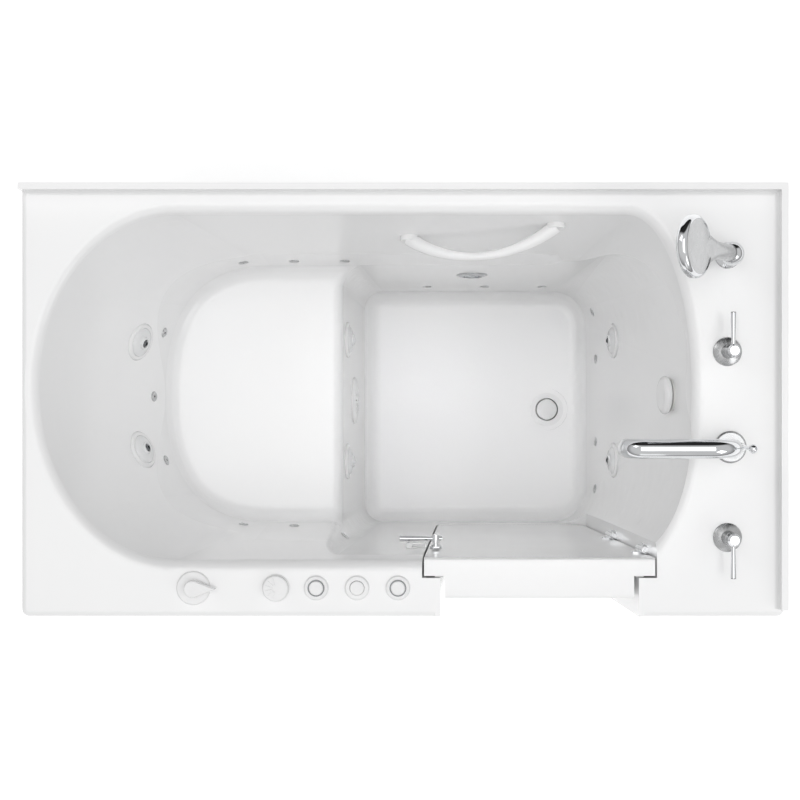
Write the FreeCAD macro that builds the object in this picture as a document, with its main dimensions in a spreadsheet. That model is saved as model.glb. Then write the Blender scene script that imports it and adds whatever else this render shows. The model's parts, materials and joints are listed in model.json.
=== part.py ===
"""Walk-in jetted bath with an inward swinging door, deck faucet and deck controls.

Frame: +X to the faucet end, +Y to the wall behind the bath, +Z up, origin on the floor
below the middle of the bath. All sizes are in millimetres.
"""
import FreeCAD
import Part
import Sketcher
import math
import os
import re

V = FreeCAD.Vector
UP = V(0, 0, 1)
LEFT, RIGHT, BACK, FRONT = V(-1, 0, 0), V(1, 0, 0), V(0, 1, 0), V(0, -1, 0)
FULL_TURN = 360.0
ROUND = math.sqrt(0.5)
BAR_SHARES = (0.0, 0.2, 0.5, 0.8, 1.0)
NEAR, CLOSE = 0.01, 0.5

# Driving dimensions, by group
SIZES = {
    # Overall and deck
    "tub_length": 1346, "tub_width": 762, "deck_top": 940, "deck_lip": 40, "deck_round": 10,
    "deck_corner": 14, "wall": 8, "flange_rise": 25, "flange_wide": 12, "flange_cove": 9,
    # Rim of the basin, at deck level
    "rim_round": 20, "rim_left_reach": 241, "rim_right_reach": 116, "end_flat": 10, "rim_band": 18,
    "rim_depth": 42,
    # Seat and backrest
    "seat_top": 525, "seat_reach": 222, "seat_round": 34, "arm_top": 780, "arm_reach": 265,
    "seat_arm_reach": 205, "arm_fullness": 1.0, "arm_right": 380, "arm_end": 90,
    # Foot well
    "floor_top": 95, "well_left": 83, "well_left_corner": 42, "well_corner": 74, "well_round": 36,
    "nose_round": 22, "well_top_left": 164, "well_top_reach": 114, "well_top_flat": 40,
    # Lines where the sections of the shell meet
    "part_middle": 50, "part_seat": 9, "part_nose": 140, "part_floor": 4,
    # Door and its frame
    "door_half": 203.5, "door_step": 37, "door_slant": 3.4, "door_bottom": 195, "door_corner": 60,
    "door_gap": 3.5, "door_outer_gap": 8.5, "jamb_wall": 9, "jamb_reach": 42, "door_round": 6,
    "seal_wide": 10, "seal_clear": 0.4,
    # Hinges, along the slanted right seam
    "hinge_inset": 7.5, "hinge_lift": 7, "knuckle": 6.5, "knuckle_long": 18, "knuckle_gap": 0.5,
    "hinge_pin": 3, "pin_fit": 0.04, "leaf_thick": 2.6, "leaf_long": 19, "leaf_rise": 10,
    "hinge_high": 88, "hinge_low": 376,
    # Latch on the door and its keeper on the shell
    "latch_height": 760, "latch_rosette": 11.5, "rosette_thick": 3,
    "latch_spindle": 5, "latch_fit": 0.05, "cam_hub": 9, "cam_thick": 3, "cam_long": 42,
    "cam_wide": 11, "cam_clear": 0.4, "lever_lift": 18, "lever_hub": 7, "lever_long": 68,
    "lever_neck": 3.4, "lever_grip": 5.6, "lever_tail": 12, "tail_round": 4,
    "keeper_tall": 20, "keeper_thick": 3, "keeper_clear": 0.8, "keeper_foot": 11,
    # Jets, suction cover, air injectors, light and overflow
    "jet_flange": 37, "jet_thick": 6, "jet_seat": 2, "jet_face": 28, "jet_clear": 0.3,
    "jet_bore": 12, "jet_tube": 24, "jet_deep": 44, "jet_eye": 8, "jet_dome": 5, "jet_collar": 4,
    "spot_clear": 0.3, "spot_reach": 18, "spot_sink": 0.6,
    "jet_back_high": 661, "jet_back_mid": 9, "jet_back_half": 105,
    "jet_end_high": 382, "jet_end_half": 127,
    "jet_riser_high": 432, "jet_riser_half": 127,
    "suction_cover": 50, "suction_dome": 9, "suction_edge": 3, "suction_tube": 30,
    "suction_deep": 46, "suction_high": 317, "suction_slots": 12, "slot_wide": 4, "suction_wall": 4,
    "air_disc": 10, "air_thick": 2.5, "air_stem": 5, "air_deep": 24, "air_hole": 2,
    "air_back_high": 590, "air_back_mid": 8, "air_back_half": 127,
    "air_seat_high": 604, "air_seat_step": 100,
    "air_foot_high": 221, "air_foot_step": 128,
    "air_end_near": 92,
    "light_bezel": 32.5, "light_glass": 24, "light_thick": 5, "light_deep": 30, "light_wall": 3,
    "light_high": 416, "lens_thick": 4, "lens_clear": 0.1,
    "over_cap": 35, "over_cap_deep": 16, "over_flange": 30, "over_flange_thick": 4, "over_tube": 22,
    "over_deep": 62, "over_stem": 6, "over_fit": 0.05, "over_stem_long": 26, "over_clear": 0.6,
    "over_y": 10, "over_high": 804,
    # Drain in the floor
    "drain_y": 21, "drain_ring": 38, "drain_throat": 26, "drain_recess": 48,
    "recess_deep": 3, "drain_ring_thick": 2.4, "drain_long": 34, "drain_wall": 3,
    "drain_spider": 9, "spider_bar": 5, "spider_thick": 6, "stopper": 23.6, "stopper_thick": 5,
    "stopper_stem": 4, "stopper_fit": 0.05, "stopper_lift": 0.4, "channel_half": 10, "channel_deep": 2,
    "drain_cut": 32, "drain_cut_low": 24,
    # Grab bar on the back wall
    "bar_low": 790, "bar_high": 868, "bar_bow": 44, "bar_grip": 7.5, "bar_foot": 17, "bar_pad": 5,
    "bar_root": 13, "bar_neck": 10.5, "bar_trim": 34,
    # Faucet on the right deck
    "hot_y": 86, "valve_base": 25.5, "valve_base_thick": 4,
    "valve_neck": 12, "valve_neck_tall": 38, "handle_hub": 11.5, "handle_hub_tall": 24,
    "handle_spindle": 6, "handle_fit": 0.05, "handle_clear": 0.4, "handle_long": 66,
    "handle_thin": 3.2, "handle_end": 5, "handle_sunk": 26,
    "spout_y": 82, "spout_base": 28.5, "spout_base_thick": 6, "spout_tube": 16.5,
    "spout_wall": 3, "spout_reach": 180, "spout_rise": 106, "spout_drop": 46, "valve_shank": 30,
    "spout_bend": 44, "spout_nose": 26, "spout_back": 10, "aerator_clear": 0.1, "aerator_deep": 12,
    "aerator_proud": 3, "aerator_hole": 8,
    "pull_back": 17, "pull_rod": 3, "pull_fit": 0.05, "pull_boss": 7, "pull_boss_tall": 24,
    "pull_tall": 104, "pull_ball": 8, "pull_sunk": 18,
    # Hand shower and its holder
    "holder_base": 23, "holder_base_thick": 5, "holder_neck": 13, "holder_rise": 40,
    "holder_ball": 21, "shower_lean": 36, "shower_grip": 15, "shower_clear": 0.4, "shower_sunk": 8,
    "shower_stop": 1, "shower_long": 126, "neck_long": 62, "neck_wide": 29, "head_wide": 53,
    "head_thick": 20, "head_edge": 7,
    # Controls on the front deck
    "diverter_base": 30, "diverter_thick": 4, "knob_round": 15,
    "knob_tip": 42, "knob_tall": 17, "knob_spindle": 5, "knob_fit": 0.05, "knob_clear": 0.4,
    "knob_sunk": 22, "knob_socket": 9, "socket_deep": 30,
    "air_plate": 24, "air_plate_thick": 2.5, "air_dial": 22.5, "air_dial_tall": 9,
    "dial_ridges": 6, "ridge_tall": 1.5, "ridge_wide": 2, "ridge_from": 105, "ridge_sweep": 150,
    "button_step": 72, "bezel": 21.8, "bezel_thick": 4, "button": 12.7,
    "button_clear": 0.3, "button_proud": 2.5, "button_long": 22, "button_house": 16,
    "house_deep": 30, "ring_wide": 1.8, "ring_thick": 1.2,
    # Support frame, feet and panels
    "rail": 30, "post": 25, "foot_pad": 25, "foot_pad_thick": 8, "stud": 6, "stud_clear": 0.2,
    "nut": 10, "nut_thick": 10, "nut_sides": 6,
    "foot_inset": 40, "panel": 4, "panel_gap": 12, "panel_lap": 20,
    "panel_clear": 1.5, "screw_head": 5, "screw_head_thick": 3, "screw": 2.5, "screw_long": 22,
    "box_rail_left": 285, "box_rail_right": 195, "well_rail_left": 10,
    "sill_post_left": 95, "sill_post_right": 46,
    # Pump, blower, controls and pipes out of sight
    "base_plate": 8, "base_lap": 15, "motor": 70, "motor_long": 205, "motor_rise": 84, "wet_end": 80,
    "wet_end_long": 60, "pump_half": 75, "inlet": 26, "inlet_long": 30, "outlet": 18, "outlet_rise": 96,
    "blower": 80, "blower_tall": 150, "blower_y": 200, "blower_neck": 12, "blower_neck_tall": 24,
    "case_y": 190, "case_wide": 110, "case_tall": 180, "pipe_wall": 3, "suction_pipe": 25,
    "suction_run": 70, "suction_bend": 40, "feed_pipe": 14, "feed_bend": 42,
    "feed_end": 145, "stub": 11, "stub_gap": 4, "air_pipe": 10, "air_bend": 30,
    "air_pipe_high": 470, "air_pipe_end": 70,
    "waste": 19, "waste_high": 31, "waste_spigot": 17, "tail": 32, "tail_long": 24,
    # Shares of a size, for bevelled and domed edges
    "share_foot": 0.25, "share_low": 0.4, "share_mid": 0.55, "share_dome": 0.7, "share_top": 0.8,
    "share_rim": 0.9,
    # Valves below the faucet
    "valve_body": 17, "valve_body_tall": 58, "cross_tube": 10, "supply": 10.5, "supply_drop": 56,
}

# Distances in from the nearer end of the bath
FROM_END = {
    "rim_left": 25, "rim_right": 159, "seat_left": 207, "seat_right": 233, "arm_left": 128,
    "seat_arm_left": 203, "well_right": 256, "well_top_right": 162, "door_middle": 432.5,
    "latch_across": 611, "keeper_near": 631, "keeper_far": 667, "light_across": 527,
    "air_foot_mid": 490, "air_seat_mid": 458, "drain_x": 339, "bar_left": 661, "bar_right": 397,
    "faucet_x": 102, "spout_x": 97, "diverter_x": 304, "air_x": 449, "button_x": 592, "beam_x": 343,
    "pump_rail_left": 98, "pump_rail_right": 268, "well_rail_right": 463, "feed_x": 128,
    "waste_end": 25, "waste_riser": 73,
    "part_door": 559, "part_corner": 283,
}

# Distances in from the nearer side of the bath
FROM_SIDE = {
    "rim_back": 49, "rim_front": 97, "seat_back": 125, "seat_front": 147, "arm_back": 86,
    "arm_front": 117, "seat_arm_back": 114, "seat_arm_front": 140, "well_back": 134, "well_front": 104,
    "well_top_back": 90, "door_inner": 104, "door_shoulder": 72, "door_outer": 32, "control_y": 51,
    "feed_y": 63, "air_pipe_y": 61, "air_end_far": 184, "cold_y": 140, "holder_y": 126,
    "part_arm": 191, "part_riser": 146, "part_back": 171,
}

doc = FreeCAD.newDocument("WalkInBath")
sheet = doc.addObject("Spreadsheet::Sheet", "Sizes")
CELLS = {**SIZES, **FROM_END, **FROM_SIDE}
for row, (alias, number) in enumerate(CELLS.items(), start=1):
    sheet.set("A%d" % row, alias.replace("_", " "))
    sheet.set("B%d" % row, str(number))
    sheet.setAlias("B%d" % row, alias)
doc.recompute()


def mm(alias):
    """Value of one cell of the sheet; a distance from an end or a side is turned into a place."""
    number = float(sheet.get(alias))
    if alias in FROM_END:
        return mm("tub_length") / 2 - number
    if alias in FROM_SIDE:
        return mm("tub_width") / 2 - number
    return number


def ring(z, left, right, back, front, left_corner, right_corner, grow=0.0, fullness=ROUND):
    """Closed plan outline at height z: four sides joined by quarter ellipses.

    The corners give their reach along X and along Y; grow moves the outline outwards.
    A fullness above that of an ellipse makes the left corners squarer."""
    x0, x1 = left - grow, right + grow
    y0, y1 = front - grow, back + grow
    ax, ay = left_corner[0] + grow, left_corner[1] + grow
    bx, by = right_corner[0] + grow, right_corner[1] + grow
    stops = [
        (V(x0 + ax, y1, z), V(x0, y1, z), V(x0, y1 - ay, z)),
        (V(x0, y0 + ay, z), V(x0, y0, z), V(x0 + ax, y0, z)),
        (V(x1 - bx, y0, z), V(x1, y0, z), V(x1, y0 + by, z)),
        (V(x1, y1 - by, z), V(x1, y1, z), V(x1 - bx, y1, z)),
    ]
    edges = []
    for index, (start, corner, end) in enumerate(stops):
        curve = Part.BezierCurve()
        curve.setPoles([start, corner, end])
        curve.setWeight(2, fullness if corner.x < x0 + NEAR else ROUND)
        edges.append(curve.toShape())
        edges.append(Part.makeLine(end, stops[(index + 1) % len(stops)][0]))
    return Part.Wire(edges)


def loft(*rings):
    """Closed solid with straight walls between plan outlines."""
    return Part.makeLoft(list(rings), True, True)


def round_bottom(solid, radius):
    """Round the edge where the walls of a solid meet its flat bottom."""
    low = solid.BoundBox.ZMin
    edges = [edge for edge in solid.Edges if edge.BoundBox.ZMax < low + NEAR]
    return solid.makeFillet(radius, edges)


def half_span(back, front):
    """Reach along Y of an end that is a half ellipse with a short flat at its tip."""
    return (back + front) / 2 - mm("end_flat") / 2


def rim_ring(z, grow):
    """Outline of the basin's rim, at height z."""
    span = half_span(mm("rim_back"), mm("rim_front"))
    return ring(z, -mm("rim_left"), mm("rim_right"), mm("rim_back"), -mm("rim_front"),
                (mm("rim_left_reach"), span), (mm("rim_right_reach"), span), grow)


def basin_upper(grow):
    """Upper basin from the rim down to the seat, with the sloping backrest at its left end."""
    seat_span = half_span(mm("seat_back"), mm("seat_front"))
    top = rim_ring(mm("deck_top"), grow)
    low = ring(mm("seat_top") - grow, -mm("seat_left"), mm("seat_right"), mm("seat_back"),
               -mm("seat_front"), (mm("seat_reach"), seat_span),
               (mm("rim_right_reach"), seat_span), grow)
    return round_bottom(loft(top, low), mm("seat_round") + grow)


def basin_arms(grow):
    """Space between the armrests, from above the arm line down to the seat."""
    top_span = half_span(mm("arm_back"), mm("arm_front"))
    low_span = half_span(mm("seat_arm_back"), mm("seat_arm_front"))
    end, fullness = (mm("arm_end"), mm("arm_end")), mm("arm_fullness")
    top = ring(mm("arm_top"), -mm("arm_left"), mm("arm_right"), mm("arm_back"), -mm("arm_front"),
               (mm("arm_reach"), top_span), end, grow, fullness)
    low = ring(mm("seat_top") - grow, -mm("seat_arm_left"), mm("arm_right"), mm("seat_arm_back"),
               -mm("seat_arm_front"), (mm("seat_arm_reach"), low_span), end, grow, fullness)
    return round_bottom(loft(top, low), mm("seat_round") + grow)


def basin_well(grow):
    """Foot well in front of the seat, from the deck down to the floor."""
    left, right = (mm("well_left_corner"), mm("well_left_corner")), (mm("well_corner"), mm("well_corner"))
    top_corner = (mm("well_top_back") + mm("well_front")) / 2 - mm("well_top_flat")
    top = ring(mm("deck_top"), -mm("well_top_left"), mm("well_top_right"), mm("well_top_back"),
               -mm("well_front"), left, (mm("well_top_reach"), top_corner), grow)
    low = ring(mm("floor_top") - grow, -mm("well_left"), mm("well_right"), mm("well_back"),
               -mm("well_front"), left, right, grow)
    return round_bottom(loft(top, low), mm("well_round") + grow)


def door_prism(half_width, bottom, corner, y_from, y_to, top):
    """Tapered upright prism of the door's outline, with round lower corners."""
    slope = math.tan(math.radians(mm("door_slant")))
    middle = mm("door_middle")
    lean = slope * (mm("deck_top") - bottom)
    rise = slope * (top - mm("deck_top"))
    corners = [
        V(middle - half_width - rise, y_from, top), V(middle + half_width + rise, y_from, top),
        V(middle + half_width - lean, y_from, bottom), V(middle - half_width + lean, y_from, bottom),
    ]
    face = Part.Face(Part.makePolygon(corners + corners[:1]))
    solid = face.extrude(V(0, y_to - y_from, 0))
    low_edges = [edge for edge in solid.Edges
                 if edge.BoundBox.ZMax < bottom + NEAR
                 and edge.BoundBox.YLength > abs(y_to - y_from) - NEAR]
    return solid.makeFillet(corner, low_edges)


def block(x0, x1, y0, y1, z0, z1):
    """Box between two corners."""
    return Part.makeBox(x1 - x0, y1 - y0, z1 - z0, V(x0, y0, z0))


def basin_cavity():
    """Room inside the bath."""
    lower = basin_arms(0.0).fuse(basin_well(0.0))
    return basin_upper(0.0).fuse(lower).removeSplitter()


def door_frame():
    """Jambs and sill round the door, stepped like the door itself."""
    half, step = mm("door_half"), mm("door_step")
    wall, front, top = mm("jamb_wall"), -mm("tub_width") / 2, mm("deck_top")
    gap, outer_gap = mm("door_gap"), mm("door_outer_gap")
    shoulder = -mm("door_shoulder") - gap
    inner_reach = -mm("door_inner") + mm("jamb_reach")
    wide = door_prism(half + gap + wall, mm("door_bottom") - gap - wall, mm("door_corner") + gap + wall,
                      shoulder - wall, inner_reach, top)
    slim = door_prism(half - step + outer_gap + wall, mm("door_bottom") + step - outer_gap - wall,
                      mm("door_corner") + outer_gap + wall, front, shoulder, top)
    return wide.fuse(slim)


def door_opening():
    """Room that the door and its clearances take in the shell."""
    half, step, corner = mm("door_half"), mm("door_step"), mm("door_corner")
    gap, outer_gap = mm("door_gap"), mm("door_outer_gap")
    over = mm("deck_top") + mm("deck_lip")
    front = -mm("tub_width") / 2 - mm("deck_lip")
    shoulder = -mm("door_shoulder") - gap
    wide = door_prism(half + gap, mm("door_bottom") - gap, corner + gap,
                      shoulder, -mm("door_inner") + mm("jamb_reach"), over)
    slim = door_prism(half - step + outer_gap, mm("door_bottom") + step - outer_gap, corner + outer_gap,
                      front, -mm("door_inner"), over)
    return wide.fuse(slim)


def tub_body():
    """Moulded bath shell before its fittings' holes are cut."""
    half_x, half_y = mm("tub_length") / 2, mm("tub_width") / 2
    top, wall, lip = mm("deck_top"), mm("wall"), mm("deck_lip")
    rise, wide = mm("flange_rise"), mm("flange_wide")
    tray = block(-half_x, half_x, -half_y, half_y, top - lip, top)
    corner = [edge for edge in tray.Edges
              if edge.BoundBox.ZLength > lip - NEAR and edge.BoundBox.YMax < 0]
    tray = tray.makeFillet(mm("deck_corner"), corner)
    brim = [edge for edge in tray.Edges
            if edge.BoundBox.ZMin > top - NEAR
            and (edge.BoundBox.YMax < -half_y + mm("deck_corner") + NEAR
                 or edge.BoundBox.XMax < -half_x + mm("deck_corner") + NEAR)]
    tray = tray.makeFillet(mm("deck_round"), brim)
    inside = block(-half_x + wall, half_x - wall, -half_y + wall, half_y - wall,
                   top - lip - wall, top - wall)
    back = block(-half_x, half_x, half_y - wide, half_y, top - lip, top + rise)
    right = block(half_x - wide, half_x, -half_y + mm("deck_corner"), half_y, top - lip, top + rise)
    cove, inner_x, inner_y = mm("flange_cove"), half_x - wide, half_y - wide
    back_cove = block(-half_x + mm("deck_round"), inner_x, inner_y - cove, inner_y, top, top + cove)
    along_x = Part.makeCylinder(cove, 2 * half_x, V(-half_x, inner_y - cove, top + cove), RIGHT)
    right_cove = block(inner_x - cove, inner_x, -half_y + mm("deck_corner"), inner_y, top, top + cove)
    along_y = Part.makeCylinder(cove, 2 * half_y, V(inner_x - cove, -half_y, top + cove), BACK)
    outer = tray.cut(inside).fuse([back, right, back_cove.cut(along_x), right_cove.cut(along_y)])
    outer = outer.removeSplitter()
    # Rim, basin walls and door frame
    band = loft(rim_ring(top, mm("rim_band")), rim_ring(top - mm("rim_depth"), 0.0))
    outer = outer.fuse([band, basin_upper(wall), basin_arms(wall), basin_well(wall), door_frame()])
    shell = outer.cut(basin_upper(0.0))
    rim = [edge for edge in shell.Edges
           if abs(edge.BoundBox.ZMin - top) < NEAR and abs(edge.BoundBox.ZMax - top) < NEAR
           and edge.BoundBox.XMin > -mm("rim_left") - CLOSE and edge.BoundBox.XMax < mm("rim_right") + CLOSE
           and edge.BoundBox.YMax < mm("rim_back") + CLOSE and edge.BoundBox.YMin > -mm("rim_front") - CLOSE]
    shell = shell.makeFillet(mm("rim_round"), rim)
    shell = shell.cut(basin_arms(0.0).fuse(basin_well(0.0)))
    return shell.cut(door_opening())


def formula(text):
    """Expression over the sheet's cells, from plain words."""
    def cell(word):
        alias = word.group()
        if alias in FROM_END:
            return "(Sizes.tub_length/2 - Sizes.%s)" % alias
        if alias in FROM_SIDE:
            return "(Sizes.tub_width/2 - Sizes.%s)" % alias
        return "Sizes." + alias if alias in SIZES else alias
    return re.sub(r"[a-z][a-z0-9_]*", cell, text)


def bind(piece, **properties):
    """Tie properties of a document object to the sheet; x, y and z are its position."""
    for name, text in properties.items():
        path = "Placement.Base." + name if name in ("x", "y", "z") else name
        piece.setExpression(path, formula(str(text)))
    return piece


def box(label, dx, dy, dz, x="0", y="0", z="0"):
    """Box with its lowest corner at x, y, z."""
    piece = doc.addObject("Part::Box", label)
    return bind(piece, Length=dx, Width=dy, Height=dz, x=x, y=y, z=z)


def rod(label, radius, length, x="0", y="0", z="0", axis=UP):
    """Cylinder along an axis, starting at x, y, z."""
    piece = doc.addObject("Part::Cylinder", label)
    piece.Placement.Rotation = FreeCAD.Rotation(UP, axis)
    return bind(piece, Radius=radius, Height=length, x=x, y=y, z=z)


def joined(label, pieces):
    """One solid from several pieces."""
    piece = doc.addObject("Part::MultiFuse", label)
    piece.Shapes = pieces
    piece.Refine = True
    return piece


def drilled(label, base, *tools):
    """A piece with other pieces cut away."""
    piece = doc.addObject("Part::Cut", label)
    piece.Base = base
    piece.Tool = tools[0] if len(tools) == 1 else joined(label + "_cuts", list(tools))
    piece.Refine = True
    return piece


def group(label, pieces):
    """Several separate solids of one kind."""
    piece = doc.addObject("Part::Compound", label)
    piece.Links = pieces
    return piece


def formed(label, shape):
    """A piece of free form, from a shape worked out above."""
    piece = doc.addObject("Part::Feature", label)
    piece.Shape = shape
    return piece


def outline(body, label, role, corners):
    """Closed outline of straight edges in a body, each corner tied to the sheet."""
    plane = [item for item in body.Origin.OriginFeatures if item.Role == role][0]
    sketch = body.newObject("Sketcher::SketchObject", label)
    sketch.AttachmentSupport = (plane, [""])
    sketch.MapMode = "FlatFace"
    count = len(corners)
    turn = 2 * math.pi / count
    start = [V(math.cos(turn * index), math.sin(turn * index), 0) for index in range(count)]
    sketch.addGeometry([Part.LineSegment(start[index], start[(index + 1) % count])
                        for index in range(count)], False)
    sketch.addConstraint([Sketcher.Constraint("Coincident", index, 2, (index + 1) % count, 1)
                          for index in range(count)])
    for index, corner in enumerate(corners):
        for kind, text in zip(("DistanceX", "DistanceY"), corner):
            number = sketch.addConstraint(Sketcher.Constraint(kind, -1, 1, index, 1, 1.0))
            sketch.setExpression("Constraints[%d]" % number, formula(text))
    return sketch


def turned(label, profile):
    """Body turned about Z from a profile of (radius, height) corners."""
    body = doc.addObject("PartDesign::Body", label)
    sketch = outline(body, label + "_profile", "XZ_Plane", profile)
    turn = body.newObject("PartDesign::Revolution", label + "_turn")
    turn.Profile = sketch
    turn.ReferenceAxis = (sketch, ["V_Axis"])
    turn.Angle = FULL_TURN
    return body


def plate(label, corners, thick):
    """Body padded upwards from a flat outline of (x, y) corners."""
    body = doc.addObject("PartDesign::Body", label)
    sketch = outline(body, label + "_outline", "XY_Plane", corners)
    pad = body.newObject("PartDesign::Pad", label + "_pad")
    pad.Profile = sketch
    pad.setExpression("Length", formula(thick))
    return body


def placed(piece, point, axis=UP, turn=0.0):
    """Put a piece at a point with its own Z along an axis, after a turn about that Z."""
    spin = FreeCAD.Rotation(UP, turn)
    piece.Placement = FreeCAD.Placement(point, FreeCAD.Rotation(UP, axis).multiply(spin))
    return piece


# Spots on the basin's walls: each is found by looking from inside along a direction

def wall_spot(eye, look):
    """Point on the basin's wall that a line of sight meets, and the wall's direction there."""
    sight = Part.makeLine(eye, eye + look * mm("tub_length"))
    point = max((vertex.Point for vertex in cavity.common(sight).Vertexes),
                key=lambda spot: spot.distanceToPoint(eye))
    touch = Part.Vertex(point)
    face = min(cavity.Faces, key=lambda item: item.distToShape(touch)[0])
    normal = face.normalAt(*face.Surface.parameter(point))
    normal = normal if normal.dot(look) < 0 else normal * -1
    return point - normal * mm("spot_sink"), normal


cavity = basin_cavity()
SEAT_EYE, FOOT_EYE = -mm("seat_left") / 2, mm("well_right") / 2
jet_spots = []
for half in (1, -1):
    across = mm("jet_back_mid") + half * mm("jet_back_half")
    jet_spots.append(wall_spot(V(SEAT_EYE, across, mm("jet_back_high")), LEFT))
for half in (1, -1):
    jet_spots.append(wall_spot(V(FOOT_EYE, half * mm("jet_end_half"), mm("jet_end_high")), RIGHT))
for half in (1, -1):
    jet_spots.append(wall_spot(V(FOOT_EYE, half * mm("jet_riser_half"), mm("jet_riser_high")), LEFT))
suction_spot = wall_spot(V(FOOT_EYE, 0, mm("suction_high")), LEFT)
air_spots = []
for step in (-1, 0, 1):
    across = mm("air_back_mid") + step * mm("air_back_half")
    air_spots.append(wall_spot(V(SEAT_EYE, across, mm("air_back_high")), LEFT))
    along = -mm("air_seat_mid") + step * mm("air_seat_step")
    air_spots.append(wall_spot(V(along, 0, mm("air_seat_high")), BACK))
    air_spots.append(wall_spot(V(along, 0, mm("air_seat_high")), FRONT))
    along = mm("air_foot_mid") + step * mm("air_foot_step")
    air_spots.append(wall_spot(V(along, 0, mm("air_foot_high")), BACK))
for across in (mm("air_end_near"), mm("air_end_far")):
    for half in (1, -1):
        air_spots.append(wall_spot(V(FOOT_EYE, half * across, mm("air_foot_high")), RIGHT))
light_spot = wall_spot(V(mm("light_across"), 0, mm("light_high")), BACK)
over_spot = wall_spot(V(FOOT_EYE, mm("over_y"), mm("over_high")), RIGHT)
bar_spots = [wall_spot(V(mm("bar_left"), 0, mm("bar_low")), BACK),
             wall_spot(V(mm("bar_right"), 0, mm("bar_high")), BACK)]


def wall_hole(spot, flat, hole, deep):
    """Flat seat of one radius and a hole of another, cut at a spot on the wall."""
    point, normal = spot
    seat = Part.makeCylinder(flat + mm("spot_clear"), mm("spot_reach"), point, normal)
    bore = Part.makeCylinder(hole + mm("spot_clear"), deep + mm("wall"), point - normal * deep, normal)
    return seat.fuse(bore)


def deck_hole(x, y, radius):
    """Round hole through the deck."""
    return Part.makeCylinder(radius + mm("spot_clear"), 2 * mm("deck_lip"),
                             V(x, y, mm("deck_top") - mm("deck_lip")))


# Shell, with a hole for each fitting

def cut_tools():
    """Everything that is cut out of the shell for its fittings."""
    tools = [wall_hole(spot, mm("jet_flange"), mm("jet_tube"), mm("jet_deep")) for spot in jet_spots]
    tools.append(wall_hole(suction_spot, mm("suction_cover"), mm("suction_tube"), mm("suction_deep")))
    tools += [wall_hole(spot, mm("air_disc"), mm("air_stem"), mm("air_deep")) for spot in air_spots]
    tools.append(wall_hole(light_spot, mm("light_bezel"), mm("light_glass"), mm("light_deep")))
    tools.append(wall_hole(over_spot, mm("over_flange"), mm("over_tube"), mm("over_deep")))
    tools += [Part.makeCylinder(mm("bar_foot") + mm("spot_clear"), mm("spot_reach"), *spot)
              for spot in bar_spots]
    controls = -mm("control_y")
    tools.append(deck_hole(-mm("diverter_x"), controls, mm("knob_socket")))
    tools.append(deck_hole(-mm("air_x"), controls, mm("knob_socket")))
    for step in (-1, 0, 1):
        tools.append(deck_hole(-mm("button_x") + step * mm("button_step"), controls, mm("button_house")))
    for across in (mm("hot_y"), -mm("cold_y")):
        tools.append(deck_hole(mm("faucet_x"), across, mm("valve_neck")))
    tools.append(deck_hole(mm("spout_x"), -mm("spout_y"), mm("valve_neck")))
    tools.append(deck_hole(mm("faucet_x"), mm("holder_y"), mm("valve_neck")))
    return tools


def drain_cut():
    """Recess, outlet hole and water channel of the drain, cut into the floor."""
    middle = V(mm("drain_x"), -mm("drain_y"), mm("floor_top"))
    deep = mm("recess_deep")
    recess = Part.makeCylinder(mm("drain_recess"), 2 * deep, middle - UP * deep)
    hole = Part.makeCylinder(mm("drain_throat") + mm("drain_wall") + mm("spot_clear"),
                             mm("drain_cut"), middle - UP * mm("drain_cut_low"))
    channel = block(mm("drain_x"), mm("well_right"), -mm("drain_y") - mm("channel_half"),
                    -mm("drain_y") + mm("channel_half"), mm("floor_top") - mm("channel_deep"),
                    mm("floor_top") + mm("channel_deep"))
    return [recess, hole, channel]


def parted(solids, direction, level):
    """Solids before and beyond a plane that stands across a direction."""
    size = 2 * mm("tub_length")
    room = Part.makeBox(size, size, size, V(-size, -size, -size) / 2 + direction * (level - size / 2))
    before, beyond = [], []
    for solid in solids:
        before += solid.common(room).Solids
        beyond += solid.cut(room).Solids
    return before, beyond


def shell_sections(shell):
    """The shell as sections that meet edge to edge: deck, seat, floor, walls and door frame."""
    floor_line = mm("floor_top") + mm("part_floor")
    below, done = parted([shell], UP, mm("deck_top") - mm("deck_lip") - mm("wall"))
    seat_end, foot_end = parted(below, RIGHT, -mm("part_middle"))
    seat, walls = parted(seat_end, UP, mm("seat_top") + mm("part_seat"))
    for level in (-mm("part_arm"), mm("part_arm")):
        side, walls = parted(walls, BACK, level)
        done += side
    seat_floor, riser = parted(seat, RIGHT, -mm("part_nose"))
    done += walls + seat_floor
    foot, riser = parted(riser, UP, floor_line)
    for level in (-mm("part_riser"), mm("part_riser")):
        side, riser = parted(riser, BACK, level)
        done += side
    done += foot + riser
    floor, walls = parted(foot_end, UP, floor_line)
    front, walls = parted(walls, BACK, -mm("well_front") + CLOSE)
    right, back = parted(walls, BACK, mm("part_back"))
    back, corner = parted(back, RIGHT, mm("part_corner"))
    done += floor + right + back + corner
    for layer in parted(front, BACK, -mm("door_shoulder") - mm("door_gap") + CLOSE):
        for level in (mm("part_door"), 2 * mm("door_middle") - mm("part_door")):
            jamb, layer = parted(layer, RIGHT, level)
            done += jamb
        done += layer
    return Part.makeCompound(done)


def tub_shape():
    """Finished shell in its sections: rounded seat nose, drain recess and all holes."""
    body = tub_body()
    seat, nose = mm("seat_top"), []
    for edge in body.Edges:
        bounds = edge.BoundBox
        level = abs(bounds.ZMin - seat) < CLOSE and abs(bounds.ZMax - seat) < CLOSE
        if level and bounds.XMin > -mm("well_top_left") and bounds.XMax < -mm("well_left") + CLOSE:
            nose.append(edge)
    body = body.makeFillet(mm("nose_round"), nose)
    return shell_sections(body.cut(cut_tools() + drain_cut()))


formed("tub_shell", tub_shape())

# Door, which carries the seal, the moving hinge leaves and the latch

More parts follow.
